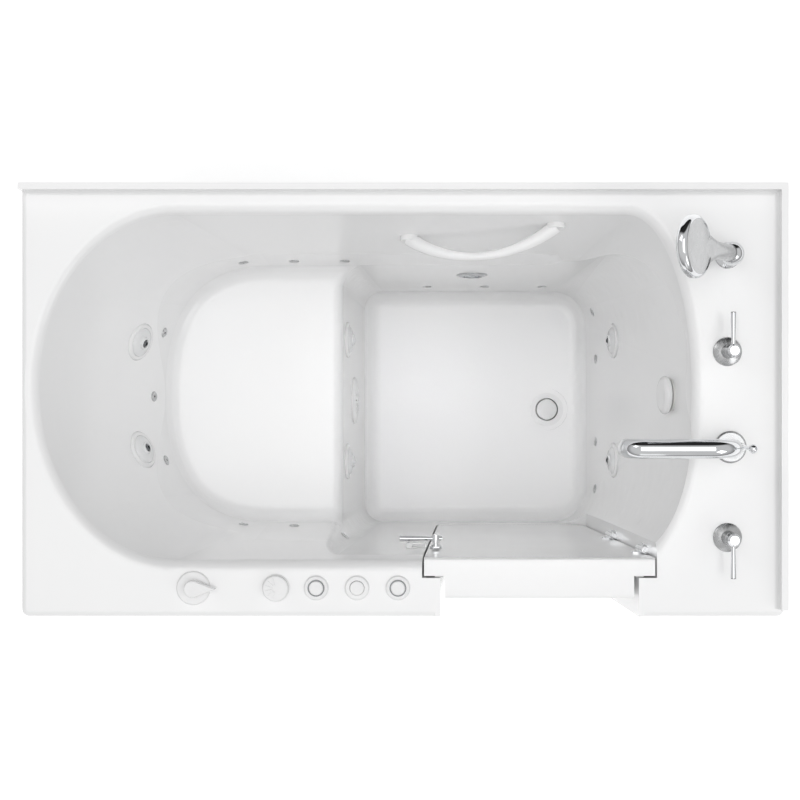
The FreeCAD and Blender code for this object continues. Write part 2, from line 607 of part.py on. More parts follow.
def door_shape():
    """Stepped door panel with its upper edges rounded and a hole for the latch spindle."""
    half, step, bottom = mm("door_half"), mm("door_step"), mm("door_bottom")
    wide = door_prism(half, bottom, mm("door_corner"), -mm("door_shoulder"), -mm("door_inner"),
                      mm("deck_top"))
    slim = door_prism(half - step, bottom + step, mm("door_corner"), -mm("door_outer"),
                      -mm("door_shoulder"), mm("deck_top"))
    panel = wide.fuse(slim).removeSplitter()
    shoulder = [edge for edge in panel.Edges
                if edge.BoundBox.ZMin > mm("deck_top") - NEAR and edge.BoundBox.XLength > half
                and abs(edge.BoundBox.YMax + mm("door_shoulder")) > NEAR]
    panel = panel.makeFillet(mm("door_round"), shoulder)
    deep = mm("door_shoulder") - mm("door_inner")
    spindle = Part.makeCylinder(mm("latch_spindle") + mm("spot_clear"), deep,
                                V(mm("latch_across"), -mm("door_inner"), mm("latch_height")), FRONT)
    return panel.cut(spindle)


def seal_shape():
    """Gasket on the door's shoulder, round both sides and the bottom."""
    half, step, bottom = mm("door_half"), mm("door_step"), mm("door_bottom")
    far = -mm("door_shoulder") - mm("door_gap") + mm("seal_clear")
    inset = mm("door_outer_gap") + mm("seal_wide")
    outer = door_prism(half - step + inset, bottom + step - inset, mm("door_corner") + inset,
                       far, -mm("door_shoulder"), mm("deck_top") - mm("door_round"))
    hole = mm("door_outer_gap") / 2
    inner = door_prism(half - step + hole, bottom + step - hole, mm("door_corner") + hole,
                       far, -mm("door_shoulder"), mm("deck_top"))
    return outer.cut(inner)


formed("door_panel", door_shape())
formed("door_seal", seal_shape())

# Hinges: each is drawn about its own pin, then set on the slanted line of the right seam
slant = math.radians(mm("door_slant"))
hinge_axis = V(math.sin(slant), 0, math.cos(slant))
hinge_turn = FreeCAD.Rotation(UP, hinge_axis)
hinge_top = V(mm("door_middle") + mm("door_half") + mm("door_gap") - mm("hinge_inset") / math.cos(slant),
              -mm("door_inner") + mm("hinge_lift"), mm("deck_top"))


def hinge_point(drop):
    """Point of the hinge line at a depth below the deck."""
    return hinge_top - hinge_axis * (drop / math.cos(slant))


frame_leaves, door_leaves, pins = [], [], []
for place, drop in (("high", mm("hinge_high")), ("low", mm("hinge_low"))):
    tall = "(1.5*knuckle_long + knuckle_gap)"
    barrel = rod("frame_knuckle_" + place, "knuckle", "2*" + tall, z="-" + tall)
    plate_box = box("frame_plate_" + place, "leaf_thick", "leaf_rise + knuckle", "2*" + tall,
                    "hinge_inset - leaf_thick", "-knuckle", "-" + tall)
    gap_box = box("frame_slot_" + place, "2*hinge_inset", "2*(knuckle + 4*knuckle_gap)",
                  "knuckle_long + 2*knuckle_gap", "-hinge_inset", "-knuckle - 4*knuckle_gap",
                  "-knuckle_long/2 - knuckle_gap")
    bore = rod("frame_bore_" + place, "hinge_pin + pin_fit/2", "3*" + tall, z="-1.5*" + tall)
    stock = joined("frame_stock_" + place, [barrel, plate_box])
    leaf = drilled("frame_leaf_" + place, stock, gap_box, bore)
    frame_leaves.append(leaf)
    barrel = rod("door_knuckle_" + place, "knuckle", "knuckle_long", z="-knuckle_long/2")
    plate_box = box("door_plate_" + place, "leaf_long", "leaf_thick", "knuckle_long",
                    "-leaf_long", "-hinge_lift", "-knuckle_long/2")
    bore = rod("door_bore_" + place, "hinge_pin + pin_fit", "knuckle_long", z="-knuckle_long/2")
    mate = drilled("door_leaf_" + place, joined("door_stock_" + place, [barrel, plate_box]), bore)
    door_leaves.append(mate)
    end = tall + " + leaf_thick"
    pin = turned("hinge_pin_" + place, [("0", "-(" + end + ")"), ("hinge_pin", "-(" + end + ")"),
                                        ("hinge_pin", end), ("0", end)])
    pins.append(pin)
    for piece in (leaf, mate, pin):
        piece.Placement = FreeCAD.Placement(hinge_point(drop), hinge_turn)
group("hinge_frame_leaves", frame_leaves)
group("hinge_door_leaves", door_leaves)
group("hinge_pins", pins)

# Latch: rosette on the door, cam and lever on one spindle, keeper on the shell
latch_base = V(mm("latch_across"), -mm("door_inner"), mm("latch_height"))
rosette = turned("latch_rosette", [
    ("latch_spindle + latch_fit", "0"), ("latch_rosette", "0"), ("latch_rosette", "rosette_thick/2"),
    ("latch_rosette - rosette_thick/2", "rosette_thick"), ("latch_spindle + latch_fit", "rosette_thick")])
placed(rosette, latch_base, BACK)

cam_from = "rosette_thick + cam_clear"
cam_hub = rod("cam_hub", "cam_hub", "cam_thick", z=cam_from)
cam_arm = box("cam_arm", "cam_wide", "cam_long", "cam_thick", "-cam_wide/2", "0", cam_from)
cam_bore = rod("cam_bore", "latch_spindle", "2*lever_lift")
placed(drilled("latch_cam", joined("cam_stock", [cam_hub, cam_arm]), cam_bore), latch_base, BACK, 180)

lever_spindle = rod("lever_spindle", "latch_spindle", "lever_lift + door_shoulder - door_inner - door_gap",
                    z="-(door_shoulder - door_inner - door_gap)")
lever_hub = rod("lever_hub", "lever_hub", "2*lever_hub", z="lever_lift - lever_hub")
lever_arm = doc.addObject("Part::Cone", "lever_arm")
bind(lever_arm, Radius1="lever_neck", Radius2="lever_grip", Height="lever_long", z="lever_lift")
lever_arm.Placement.Rotation = FreeCAD.Rotation(UP, LEFT)
lever_tail = rod("lever_tail", "tail_round", "lever_tail", z="lever_lift", axis=RIGHT)
placed(joined("latch_lever", [lever_spindle, lever_hub, lever_arm, lever_tail]), latch_base, BACK)

keeper_gap = "(rosette_thick + cam_clear + cam_thick + keeper_clear)"
keeper_reach, keeper_root = "keeper_near - keeper_far - keeper_foot", "keeper_far + keeper_foot"
keeper_plate = box("keeper_plate", keeper_reach, "keeper_thick - cam_clear", "keeper_tall",
                   keeper_root, "-door_inner", "latch_height - keeper_tall/2")
keeper_foot = box("keeper_foot", "keeper_foot", keeper_gap + " + keeper_thick", "keeper_tall",
                  "keeper_far", "-door_inner", "latch_height - keeper_tall/2")
keeper_finger = box("keeper_finger", keeper_reach, "keeper_thick", "keeper_tall",
                    keeper_root, "-door_inner + " + keeper_gap, "latch_height - keeper_tall/2")
group("latch_keeper", [keeper_plate, keeper_foot, keeper_finger])

# Jets: fixed wall fittings and faces that turn in them
face_top = "jet_thick + jet_dome"
fittings = []
for number, (point, normal) in enumerate(jet_spots, start=1):
    fitting = turned("jet_fitting_%d" % number, [
        ("jet_bore", "-jet_deep"), ("jet_tube", "-jet_deep"), ("jet_tube", "0"), ("jet_flange", "0"),
        ("jet_flange", "jet_thick/2"), ("jet_flange - jet_thick/2", "jet_thick"),
        ("jet_face + jet_clear", "jet_thick"), ("jet_face + jet_clear", "jet_seat"),
        ("jet_bore", "jet_seat")])
    fittings.append(placed(fitting, point, normal))
    face = turned("jet_face_%d" % number, [
        ("jet_eye", "jet_seat + jet_clear"), ("jet_face", "jet_seat + jet_clear"),
        ("jet_face", "jet_thick"), ("jet_face - jet_dome", "jet_thick + jet_dome*share_dome"),
        ("jet_eye + jet_collar", face_top), ("jet_eye + jet_collar", face_top + " + jet_collar"),
        ("jet_eye", face_top + " + jet_collar")])
    placed(face, point, normal)
group("jet_wall_fittings", fittings)

# Suction cover with radial slots, and its cup behind the wall
dome = turned("suction_dome", [
    ("0", "suction_edge"), ("suction_cover - suction_edge", "suction_edge"),
    ("suction_cover - suction_edge", "0"), ("suction_cover", "0"), ("suction_cover", "suction_edge"),
    ("suction_cover*share_dome", "suction_dome*share_top"),
    ("0", "suction_dome")])
slots = []
for number in range(int(mm("suction_slots"))):
    slot = box("suction_slot_%d" % number, "suction_tube*share_mid", "slot_wide", "2*suction_dome",
               "suction_tube*share_low", "-slot_wide/2")
    slots.append(placed(group("suction_gap_%d" % number, [slot]), V(0, 0, 0), UP,
                        FULL_TURN * number / mm("suction_slots")))
placed(drilled("suction_cover", dome, *slots), *suction_spot)
cup = turned("suction_body", [
    ("0", "-suction_deep"), ("suction_tube", "-suction_deep"), ("suction_tube", "suction_edge"),
    ("suction_tube - suction_wall", "suction_edge"),
    ("suction_tube - suction_wall", "suction_wall - suction_deep"), ("0", "suction_wall - suction_deep")])
placed(cup, *suction_spot)

# Air injectors
injectors = []
for number, (point, normal) in enumerate(air_spots, start=1):
    injector = turned("air_injector_%d" % number, [
        ("air_hole", "-air_deep"), ("air_stem", "-air_deep"), ("air_stem", "0"), ("air_disc", "0"),
        ("air_disc", "air_thick*share_low"), ("air_disc - air_thick*share_mid", "air_thick"),
        ("air_hole", "air_thick")])
    injectors.append(placed(injector, point, normal))
group("air_injectors", injectors)

# Light on the back wall of the foot well
bezel = turned("light_bezel", [
    ("light_glass - light_wall", "-light_deep"), ("light_glass", "-light_deep"), ("light_glass", "0"),
    ("light_bezel", "0"), ("light_bezel", "light_thick*share_low"), ("light_glass", "light_thick"),
    ("light_glass - light_wall", "light_thick")])
placed(bezel, *light_spot)
lens = turned("light_lens", [
    ("0", "0"), ("light_glass - light_wall - lens_clear", "0"),
    ("light_glass - light_wall - lens_clear", "lens_thick*share_mid"), ("0", "lens_thick")])
placed(lens, *light_spot)

# Overflow: fixed body and the cap that is turned to work the drain
over_gap = "over_flange_thick + over_clear"
spigot = turned("overflow_body", [
    ("over_stem + over_fit", "-over_stem_long - over_clear"),
    ("over_tube", "-over_deep"), ("over_tube", "0"),
    ("over_flange", "0"), ("over_flange", "over_flange_thick"),
    ("over_stem + over_fit", "over_flange_thick")])
placed(spigot, *over_spot)
cap = turned("overflow_cap", [
    ("0", "-over_stem_long"), ("over_stem", "-over_stem_long"), ("over_stem", over_gap),
    ("over_cap*share_top", over_gap), ("over_cap", over_gap + " + over_cap_deep*share_foot"),
    ("over_cap", over_gap + " + over_cap_deep*share_dome"),
    ("over_cap*share_top", over_gap + " + over_cap_deep"),
    ("0", over_gap + " + over_cap_deep")])
placed(cap, *over_spot)

# Drain: flange with a spider that guides the stopper's stem
drain_seat = V(mm("drain_x"), -mm("drain_y"), mm("floor_top") - mm("recess_deep"))
throat = turned("drain_throat", [
    ("drain_throat", "-drain_long"), ("drain_throat + drain_wall", "-drain_long"),
    ("drain_throat + drain_wall", "0"), ("drain_ring", "0"), ("drain_ring", "drain_ring_thick/2"),
    ("drain_throat + drain_wall", "drain_ring_thick"), ("drain_throat", "drain_ring_thick")])
hub = rod("spider_hub", "drain_spider", "spider_thick", z="-drain_long")
bars = [box("spider_bar_x", "2*drain_throat + drain_wall", "spider_bar", "spider_thick",
            "-drain_throat - drain_wall/2", "-spider_bar/2", "-drain_long"),
        box("spider_bar_y", "spider_bar", "2*drain_throat + drain_wall", "spider_thick",
            "-spider_bar/2", "-drain_throat - drain_wall/2", "-drain_long")]
guide = rod("spider_bore", "stopper_stem + stopper_fit", "3*spider_thick", z="-drain_long - spider_thick")
placed(drilled("drain_flange", joined("drain_stock", [throat, hub] + bars), guide), drain_seat)
plug = turned("drain_stopper", [
    ("0", "-drain_long"), ("stopper_stem", "-drain_long"), ("stopper_stem", "stopper_lift - stopper_thick"),
    ("stopper*share_top", "stopper_lift - stopper_thick"), ("stopper", "stopper_lift - stopper_thick/2"),
    ("stopper", "stopper_lift + drain_ring_thick/2"),
    ("stopper*share_rim", "stopper_lift + drain_ring_thick"),
    ("0", "stopper_lift + drain_ring_thick")])
placed(plug, drain_seat)


def bar_shape():
    """Bowed grab bar that widens smoothly towards a foot at each end, on the back wall."""
    (left, left_out), (right, right_out) = bar_spots
    start, end = left + left_out * mm("bar_pad"), right + right_out * mm("bar_pad")
    crown = (start + end) * 0.5 + (left_out + right_out).normalize() * mm("bar_bow")
    arc = Part.Arc(start, crown, end)
    first, last = arc.FirstParameter, arc.LastParameter
    sections = []
    for share, width in zip(BAR_SHARES, ("bar_root", "bar_neck", "bar_grip", "bar_neck", "bar_root")):
        along = first + (last - first) * share
        sections.append(Part.Wire(Part.makeCircle(mm(width), arc.value(along), arc.tangent(along)[0])))
    feet = [Part.makeCylinder(mm("bar_foot"), 2 * mm("bar_pad"), *spot) for spot in bar_spots]
    bar = Part.Wire(arc.toShape()).makePipeShell(sections, True, True).fuse(feet).removeSplitter()
    return bar.cut([Part.makeCylinder(mm("bar_trim"), mm("bar_trim"), point, out * -1)
                    for point, out in bar_spots])


formed("grab_bar", bar_shape())

# Deck faucet: two escutcheons with levers, a spout with its aerator and a pull-up diverter
stop = "valve_neck_tall - handle_sunk"
escutcheons = []
for side, across, reach in (("hot", mm("hot_y"), BACK), ("cold", -mm("cold_y"), FRONT)):
    spot = V(mm("faucet_x"), across, mm("deck_top"))
    base = turned("escutcheon_" + side, [
        ("0", "-valve_shank"), ("valve_neck", "-valve_shank"), ("valve_neck", "0"), ("valve_base", "0"),
        ("valve_base", "valve_base_thick/2"), ("valve_base*share_rim", "valve_base_thick"),
        ("valve_neck", "valve_base_thick*2"), ("valve_neck", "valve_neck_tall"),
        ("handle_spindle + handle_fit", "valve_neck_tall"),
        ("handle_spindle + handle_fit", stop + " - handle_clear"), ("0", stop + " - handle_clear")])
    escutcheons.append(placed(base, spot))
    hub = turned("handle_hub_" + side, [
        ("0", stop), ("handle_spindle", stop), ("handle_spindle", "valve_neck_tall + handle_clear"),
        ("handle_hub", "valve_neck_tall + handle_clear"),
        ("handle_hub", "valve_neck_tall + handle_hub_tall*share_top"),
        ("handle_hub*share_dome", "valve_neck_tall + handle_hub_tall"),
        ("0", "valve_neck_tall + handle_hub_tall")])
    arm = doc.addObject("Part::Cone", "handle_arm_" + side)
    arm.Placement.Rotation = FreeCAD.Rotation(UP, reach)
    bind(arm, Radius1="handle_thin", Radius2="handle_end", Height="handle_long",
         z="valve_neck_tall + handle_hub_tall/2")
    placed(joined(side + "_lever", [hub, arm]), spot)
group("faucet_escutcheons", escutcheons)

spout_spot = V(mm("spout_x"), -mm("spout_y"), mm("deck_top"))
foot = turned("spout_foot", [
    ("0", "-valve_shank"), ("valve_neck", "-valve_shank"), ("valve_neck", "0"), ("spout_base", "0"),
    ("spout_base", "spout_base_thick/2"), ("spout_base*share_rim", "spout_base_thick"),
    ("0", "spout_base_thick")])
boss = rod("pull_boss", "pull_boss", "pull_boss_tall", "pull_back")
boss_bore = rod("pull_bore", "pull_rod + pull_fit", "2*pull_sunk", "pull_back",
                z="pull_boss_tall - pull_sunk - handle_clear")
placed(drilled("spout_base", joined("spout_base_stock", [foot, boss]), boss_bore), spout_spot)
pull = rod("pull_stem", "pull_rod", "pull_tall - pull_boss_tall + pull_sunk", "pull_back",
           z="pull_boss_tall - pull_sunk")
ball = doc.addObject("Part::Sphere", "pull_ball")
bind(ball, Radius="pull_ball", x="pull_back", z="pull_tall")
placed(joined("diverter_rod", [pull, ball]), spout_spot)


def bent_path(points, radius):
    """Path of straight runs joined by tangent arcs."""
    edges, here = [], points[0]
    for before, corner, after in zip(points, points[1:], points[2:]):
        into, out = (corner - before).normalize(), (after - corner).normalize()
        half = into.getAngle(out) / 2
        back = radius * math.tan(half)
        first, last = corner - into * back, corner + out * back
        middle = corner + (out - into).normalize() * (radius / math.cos(half) - radius)
        edges += [Part.makeLine(here, first), Part.Arc(first, middle, last).toShape()]
        here = last
    edges.append(Part.makeLine(here, points[-1]))
    return Part.Wire(edges)


def tube(points, radius, bend, wall):
    """Bent tube, open at both ends."""
    path = bent_path(points, bend)
    along = (points[1] - points[0]).normalize()
    skins = [path.makePipeShell([Part.Wire(Part.makeCircle(size, points[0], along))], True, True)
             for size in (radius, radius - wall)]
    return skins[0].cut(skins[1])


root = spout_spot + V(-mm("spout_back"), 0, mm("spout_base_thick"))
rise = UP * (mm("spout_rise") - mm("spout_base_thick"))
nose = root + rise + LEFT * mm("spout_reach")
tip = nose - UP * mm("spout_drop")


def spout_shape():
    """Spout: a wide bend up from the base, a straight reach and a tight bend at the nose."""
    half_way = root + rise + LEFT * mm("spout_reach") / 2
    rear = tube([root, root + rise, half_way], mm("spout_tube"), mm("spout_bend"), mm("spout_wall"))
    front = tube([half_way, nose, tip], mm("spout_tube"), mm("spout_nose"), mm("spout_wall"))
    return rear.fuse(front).removeSplitter()


formed("spout", spout_shape())
spray = turned("spout_aerator", [
    ("aerator_hole", "-aerator_proud"), ("spout_tube - spout_wall - aerator_clear", "-aerator_proud"),
    ("spout_tube - spout_wall - aerator_clear", "aerator_deep"), ("aerator_hole", "aerator_deep")])
placed(spray, tip)

# Hand shower leaning in a ball-shaped holder
holder_spot = V(mm("faucet_x"), mm("holder_y"), mm("deck_top"))
lean = math.radians(mm("shower_lean"))
shower_axis = V(-math.sin(lean), 0, math.cos(lean))
pillar = turned("holder_pillar", [
    ("0", "-valve_shank"), ("valve_neck", "-valve_shank"), ("valve_neck", "0"), ("holder_base", "0"),
    ("holder_base", "holder_base_thick/2"), ("holder_base*share_rim", "holder_base_thick"),
    ("holder_neck", "holder_base_thick*2"), ("holder_neck", "holder_rise"), ("0", "holder_rise")])
globe = doc.addObject("Part::Sphere", "holder_globe")
bind(globe, Radius="holder_ball", z="holder_rise")
cup_bore = rod("holder_bore", "shower_grip + shower_clear", "4*holder_ball", z="-shower_sunk - shower_stop")
cup_bore = placed(group("holder_socket", [cup_bore]), V(0, 0, mm("holder_rise")), shower_axis)
placed(drilled("shower_holder", joined("holder_stock", [pillar, globe]), cup_bore), holder_spot)
grip = rod("shower_grip", "shower_grip", "shower_long + shower_sunk", z="-shower_sunk")
flare = doc.addObject("Part::Cone", "shower_flare")
bind(flare, Radius1="shower_grip", Radius2="neck_wide", Height="neck_long", z="shower_long - neck_long")
head = turned("shower_head", [
    ("0", "-head_thick/2"), ("head_wide - head_edge", "-head_thick/2"),
    ("head_wide", "head_edge - head_thick/2"), ("head_wide", "head_thick/2 - head_edge/2"),
    ("head_wide - head_edge/2", "head_thick/2"),
    ("0", "head_thick/2")])
placed(head, V(0, 0, mm("shower_long") + mm("head_wide") / 2), RIGHT)
placed(joined("hand_shower", [grip, flare, head]), holder_spot + UP * mm("holder_rise"), shower_axis)


# Controls on the front deck
def control_base(label, plate_radius, thick, spot):
    """Round plate with a blind bore for a knob's spindle."""
    floor = thick + " - knob_sunk - knob_clear"
    base = turned(label, [
        ("0", "-socket_deep"), ("knob_socket", "-socket_deep"), ("knob_socket", "0"), (plate_radius, "0"),
        (plate_radius, thick + "/2"), (plate_radius + " - " + thick + "/2", thick),
        ("knob_spindle + knob_fit", thick), ("knob_spindle + knob_fit", floor), ("0", floor)])
    return placed(base, spot)


control_row = -mm("control_y")
diverter_spot = V(-mm("diverter_x"), control_row, mm("deck_top"))
control_base("diverter_base", "diverter_base", "diverter_thick", diverter_spot)
under = "diverter_thick + knob_clear"
knob_disc = rod("knob_disc", "knob_round", "knob_tall", z=under)
tangent_x = "knob_round*knob_round/knob_tip"
tangent_y = "knob_round*sqrt(1 - (knob_round/knob_tip)^2)"
pointer = plate("knob_pointer", [("knob_tip", "0"), (tangent_x, tangent_y), (tangent_x, "-" + tangent_y)],
                "knob_tall")
placed(pointer, UP * (mm("diverter_thick") + mm("knob_clear")))
spindle = rod("knob_stem", "knob_spindle", "knob_sunk + knob_clear + knob_tall/2",
              z="diverter_thick - knob_sunk")
placed(joined("diverter_knob", [knob_disc, pointer, spindle]), diverter_spot)

air_spot = V(-mm("air_x"), control_row, mm("deck_top"))
control_base("air_control_base", "air_plate", "air_plate_thick", air_spot)
dial_top = "air_plate_thick + knob_clear + air_dial_tall"
dial = turned("air_dial", [
    ("0", "air_plate_thick - knob_sunk"), ("knob_spindle", "air_plate_thick - knob_sunk"),
    ("knob_spindle", "air_plate_thick + knob_clear"), ("air_dial", "air_plate_thick + knob_clear"),
    ("air_dial", dial_top + " - ridge_tall"), ("air_dial - ridge_tall", dial_top), ("0", dial_top)])
ridges = []
for number in range(int(mm("dial_ridges"))):
    ridge = box("dial_bar_%d" % number, "air_dial*share_mid", "ridge_wide", "2*ridge_tall",
                "air_dial*share_foot", "-ridge_wide/2", dial_top + " - ridge_tall")
    ridges.append(placed(group("dial_ridge_%d" % number, [ridge]), V(0, 0, 0), UP,
                         mm("ridge_from") + mm("ridge_sweep") * number / (mm("dial_ridges") - 1)))
placed(joined("air_control_knob", [dial] + ridges), air_spot)

bezels, rings = [], []
for number, step in enumerate((-1, 0, 1), start=1):
    spot = V(-mm("button_x") + step * mm("button_step"), control_row, mm("deck_top"))
    bezel_ring = turned("bezel_%d" % number, [
        ("button + button_clear", "-house_deep"), ("button_house", "-house_deep"), ("button_house", "0"),
        ("bezel", "0"), ("bezel", "bezel_thick*share_low"), ("bezel - bezel_thick*share_mid", "bezel_thick"),
        ("button + button_clear", "bezel_thick")])
    bezels.append(placed(bezel_ring, spot))
    if step != 0:
        ring_trim = turned("button_ring_%d" % number, [
            ("button + button_clear", "bezel_thick"), ("button + button_clear + ring_wide", "bezel_thick"),
            ("button + button_clear + ring_wide", "bezel_thick + ring_thick"),
            ("button + button_clear", "bezel_thick + ring_thick")])
        rings.append(placed(ring_trim, spot))
    cap_top = "bezel_thick + button_proud"
    key = turned("button_%d" % number, [
        ("0", cap_top + " - button_long"), ("button", cap_top + " - button_long"),
        ("button", cap_top + " - ring_thick"), ("button - ring_thick", cap_top), ("0", cap_top)])
    placed(key, spot)
group("button_bezels", bezels)
group("button_rings", rings)

# Support frame of square bars that butt together, standing inside the panels
front_face, back_face = "-tub_width/2 + wall + panel", "tub_width/2 - flange_wide"
left_face, right_face = "-tub_length/2 + wall + panel", "tub_length/2 - flange_wide"
rail_low = "floor_top - wall - rail"
span_x = "(" + right_face + ") - (" + left_face + ")"
span_y = "(" + back_face + ") - (" + front_face + ")"
between, behind_rail = span_y + " - 2*rail", front_face + " + rail"
bars = [
    box("rail_front", span_x, "rail", "rail", left_face, front_face, rail_low),
    box("rail_back", span_x, "rail", "rail", left_face, back_face + " - rail", rail_low),
    box("rail_left", "rail", between, "rail", left_face + " + panel", behind_rail, rail_low),
    box("rail_right", "rail", between, "rail", right_face + " - rail - panel", behind_rail, rail_low),
]
cross_rails = ("-pump_rail_left", "-pump_rail_right", "-box_rail_left", "-box_rail_right",
               "well_rail_left", "well_rail_right")
for number, along in enumerate(cross_rails, start=1):
    bars.append(box("rail_cross_%d" % number, "rail", between, "rail", along + " - rail/2", behind_rail,
                    rail_low))
post_tall = "deck_top - floor_top"
seat_low = "seat_top - wall"
post_low = rail_low + " + rail"
for name, along, tall in (("left", left_face, post_tall), ("right", right_face + " - post", post_tall),
                          ("beam", "-beam_x - post/2", seat_low + " - rail - (" + post_low + ")")):
    bars.append(box("post_front_" + name, "post", "post", tall, along, front_face, post_low))
    bars.append(box("post_back_" + name, "post", "post", tall, along, back_face + " - post", post_low))
sill_left = "door_middle - door_half - sill_post_left"
sill_right = "door_middle + door_half + sill_post_right"
for name, along in (("left", sill_left), ("right", sill_right)):
    bars.append(box("post_sill_" + name, "post", "post", post_tall, along, front_face, post_low))
bars.append(box("seat_beam", "rail", span_y, "rail", "-beam_x - rail/2", front_face, seat_low + " - rail"))
stud_spots = []
for along in ("-tub_length/2 + foot_inset", "0", "tub_length/2 - foot_inset"):
    stud_spots += [(along, front_face + " + rail/2"), (along, back_face + " - rail/2")]
stud_holes = [rod("stud_hole_%d" % number, "stud + stud_clear", "3*rail", x, y, rail_low + " - rail")
              for number, (x, y) in enumerate(stud_spots, start=1)]
screw_spots = []
for along in (left_face + " + post/2", "-beam_x", sill_left + " + post/2", sill_right + " + post/2",
              right_face + " - post/2"):
    screw_spots += [(along, "floor_top + rail"), (along, "seat_top - 2*rail")]
panel_face = "-tub_width/2 + wall"
screw_holes = [rod("screw_hole_%d" % number, "screw", "screw_long", x, panel_face, z, BACK)
               for number, (x, z) in enumerate(screw_spots, start=1)]
drilled("support_frame", group("frame_bars", bars), *(stud_holes + screw_holes))

feet, nuts = [], []
for number, (x, y) in enumerate(stud_spots, start=1):
    pad = rod("foot_pad_%d" % number, "foot_pad", "foot_pad_thick", x, y)
    stud = rod("foot_stud_%d" % number, "stud", "floor_top - wall - foot_pad_thick", x, y, "foot_pad_thick")
    feet.append(joined("foot_%d" % number, [pad, stud]))
    stock = doc.addObject("Part::Prism", "nut_stock_%d" % number)
    stock.Polygon = int(mm("nut_sides"))
    bind(stock, Circumradius="nut", Height="nut_thick", x=x, y=y, z=rail_low + " - nut_thick")
    thread = rod("nut_thread_%d" % number, "stud", "3*nut_thick", x, y, rail_low + " - 2*nut_thick")
    nuts.append(drilled("nut_%d" % number, stock, thread))
group("levelling_feet", feet)
group("foot_lock_nuts", nuts)

# Front apron with the door's cutout, left end panel, and the apron's screws
panel_tall = "deck_top - deck_lip + panel_lap - panel_gap"
sheet_front = box("apron_sheet", "tub_length - 2*wall", "panel", panel_tall, "-tub_length/2 + wall",
                  panel_face, "panel_gap")
open_more = mm("door_outer_gap") + mm("jamb_wall") + mm("panel_clear")
apron_opening = formed("apron_opening", door_prism(
    mm("door_half") - mm("door_step") + open_more, mm("door_bottom") + mm("door_step") - open_more,
    mm("door_corner") + open_more, -mm("tub_width") / 2, -mm("tub_width") / 2 + 4 * mm("wall"),
    mm("deck_top") + mm("deck_lip")))
apron_holes = [rod("apron_hole_%d" % number, "screw", "screw_long", x, panel_face, z, BACK)
               for number, (x, z) in enumerate(screw_spots, start=1)]
drilled("front_apron", sheet_front, apron_opening, *apron_holes)
box("left_end_panel", "panel", span_y, panel_tall, "-tub_length/2 + wall", front_face, "panel_gap")
screws = []
for number, (x, z) in enumerate(screw_spots, start=1):
    shank = rod("screw_shank_%d" % number, "screw", "screw_long", x, panel_face, z, BACK)
    button_head = rod("screw_head_%d" % number, "screw_head", "screw_head_thick", x, panel_face, z, FRONT)
    screws.append(joined("screw_%d" % number, [shank, button_head]))
group("apron_screws", screws)

# Pump, blower and control box on the frame below the seat
deck_low = "floor_top - wall"
plate_x = "-pump_rail_left - base_lap"
plate_long = "pump_rail_left - pump_rail_right + 2*base_lap"
motor_z = deck_low + " + motor_rise"
skid = box("motor_skid", plate_long, "2*pump_half", "base_plate", plate_x, "-pump_half", deck_low)
saddle = box("motor_saddle", plate_long + " - 4*base_lap", "pump_half", "motor_rise",
             plate_x + " + 2*base_lap", "-pump_half/2", deck_low)
can = rod("motor_can", "motor", "motor_long", plate_x, "0", motor_z, RIGHT)
joined("pump_motor", [skid, saddle, can])
wet_x = plate_x + " + motor_long"
volute = rod("wet_end_volute", "wet_end", "wet_end_long", wet_x, "0", motor_z, RIGHT)
inlet = rod("wet_end_inlet", "inlet", "inlet_long", wet_x + " + wet_end_long", "0", motor_z, RIGHT)
outlet = rod("wet_end_outlet", "outlet", "outlet_rise", wet_x + " + wet_end_long/2", "0", motor_z)
joined("pump_wet_end", [volute, inlet, outlet])
tray = box("blower_plate", plate_long, "2*blower", "base_plate", plate_x, "-blower_y - blower", deck_low)
drum = rod("blower_drum", "blower", "blower_tall", "-(pump_rail_left + pump_rail_right)/2", "-blower_y",
           deck_low + " + base_plate")
throat = rod("blower_throat", "blower_neck", "blower_neck_tall", "-(pump_rail_left + pump_rail_right)/2",
             "-blower_y", deck_low + " + base_plate + blower_tall")
joined("air_blower", [tray, drum, throat])
box("control_box", "box_rail_left - box_rail_right + rail", "case_wide", "case_tall",
    "-box_rail_left - rail/2", "case_y", deck_low)

# Pipes
low = mm("floor_top") - mm("wall")
pump_left = -mm("pump_rail_left") - mm("base_lap")
pump_high = low + mm("motor_rise")
pump_mouth = V(pump_left + mm("motor_long") + mm("wet_end_long") + mm("inlet_long"), 0, pump_high)
point, normal = suction_spot
cup_end = point - normal * mm("suction_deep")
elbow = cup_end - normal * mm("suction_run")
suction_route = [cup_end, elbow, V(elbow.x, 0, pump_high), pump_mouth]
formed("suction_pipe", tube(suction_route, mm("suction_pipe"), mm("suction_bend"), mm("pipe_wall")))

feed_start = V(pump_left + mm("motor_long") + mm("wet_end_long") / 2, 0, pump_high + mm("outlet_rise"))
feed_high = mm("jet_end_high")
feed_route = [feed_start, V(feed_start.x, 0, feed_high), V(feed_start.x, mm("feed_y"), feed_high),
              V(mm("feed_x"), mm("feed_y"), feed_high), V(mm("feed_x"), -mm("feed_end"), feed_high)]
feed = tube(feed_route, mm("feed_pipe"), mm("feed_bend"), mm("pipe_wall"))
for point, normal in jet_spots[2:4]:
    rear = point - normal * mm("jet_deep") + RIGHT * mm("stub_gap")
    reach = mm("feed_x") - rear.x - mm("feed_pipe") / 2
    feed = feed.fuse(Part.makeCylinder(mm("stub"), reach, rear, RIGHT))
formed("pressure_manifold", feed)

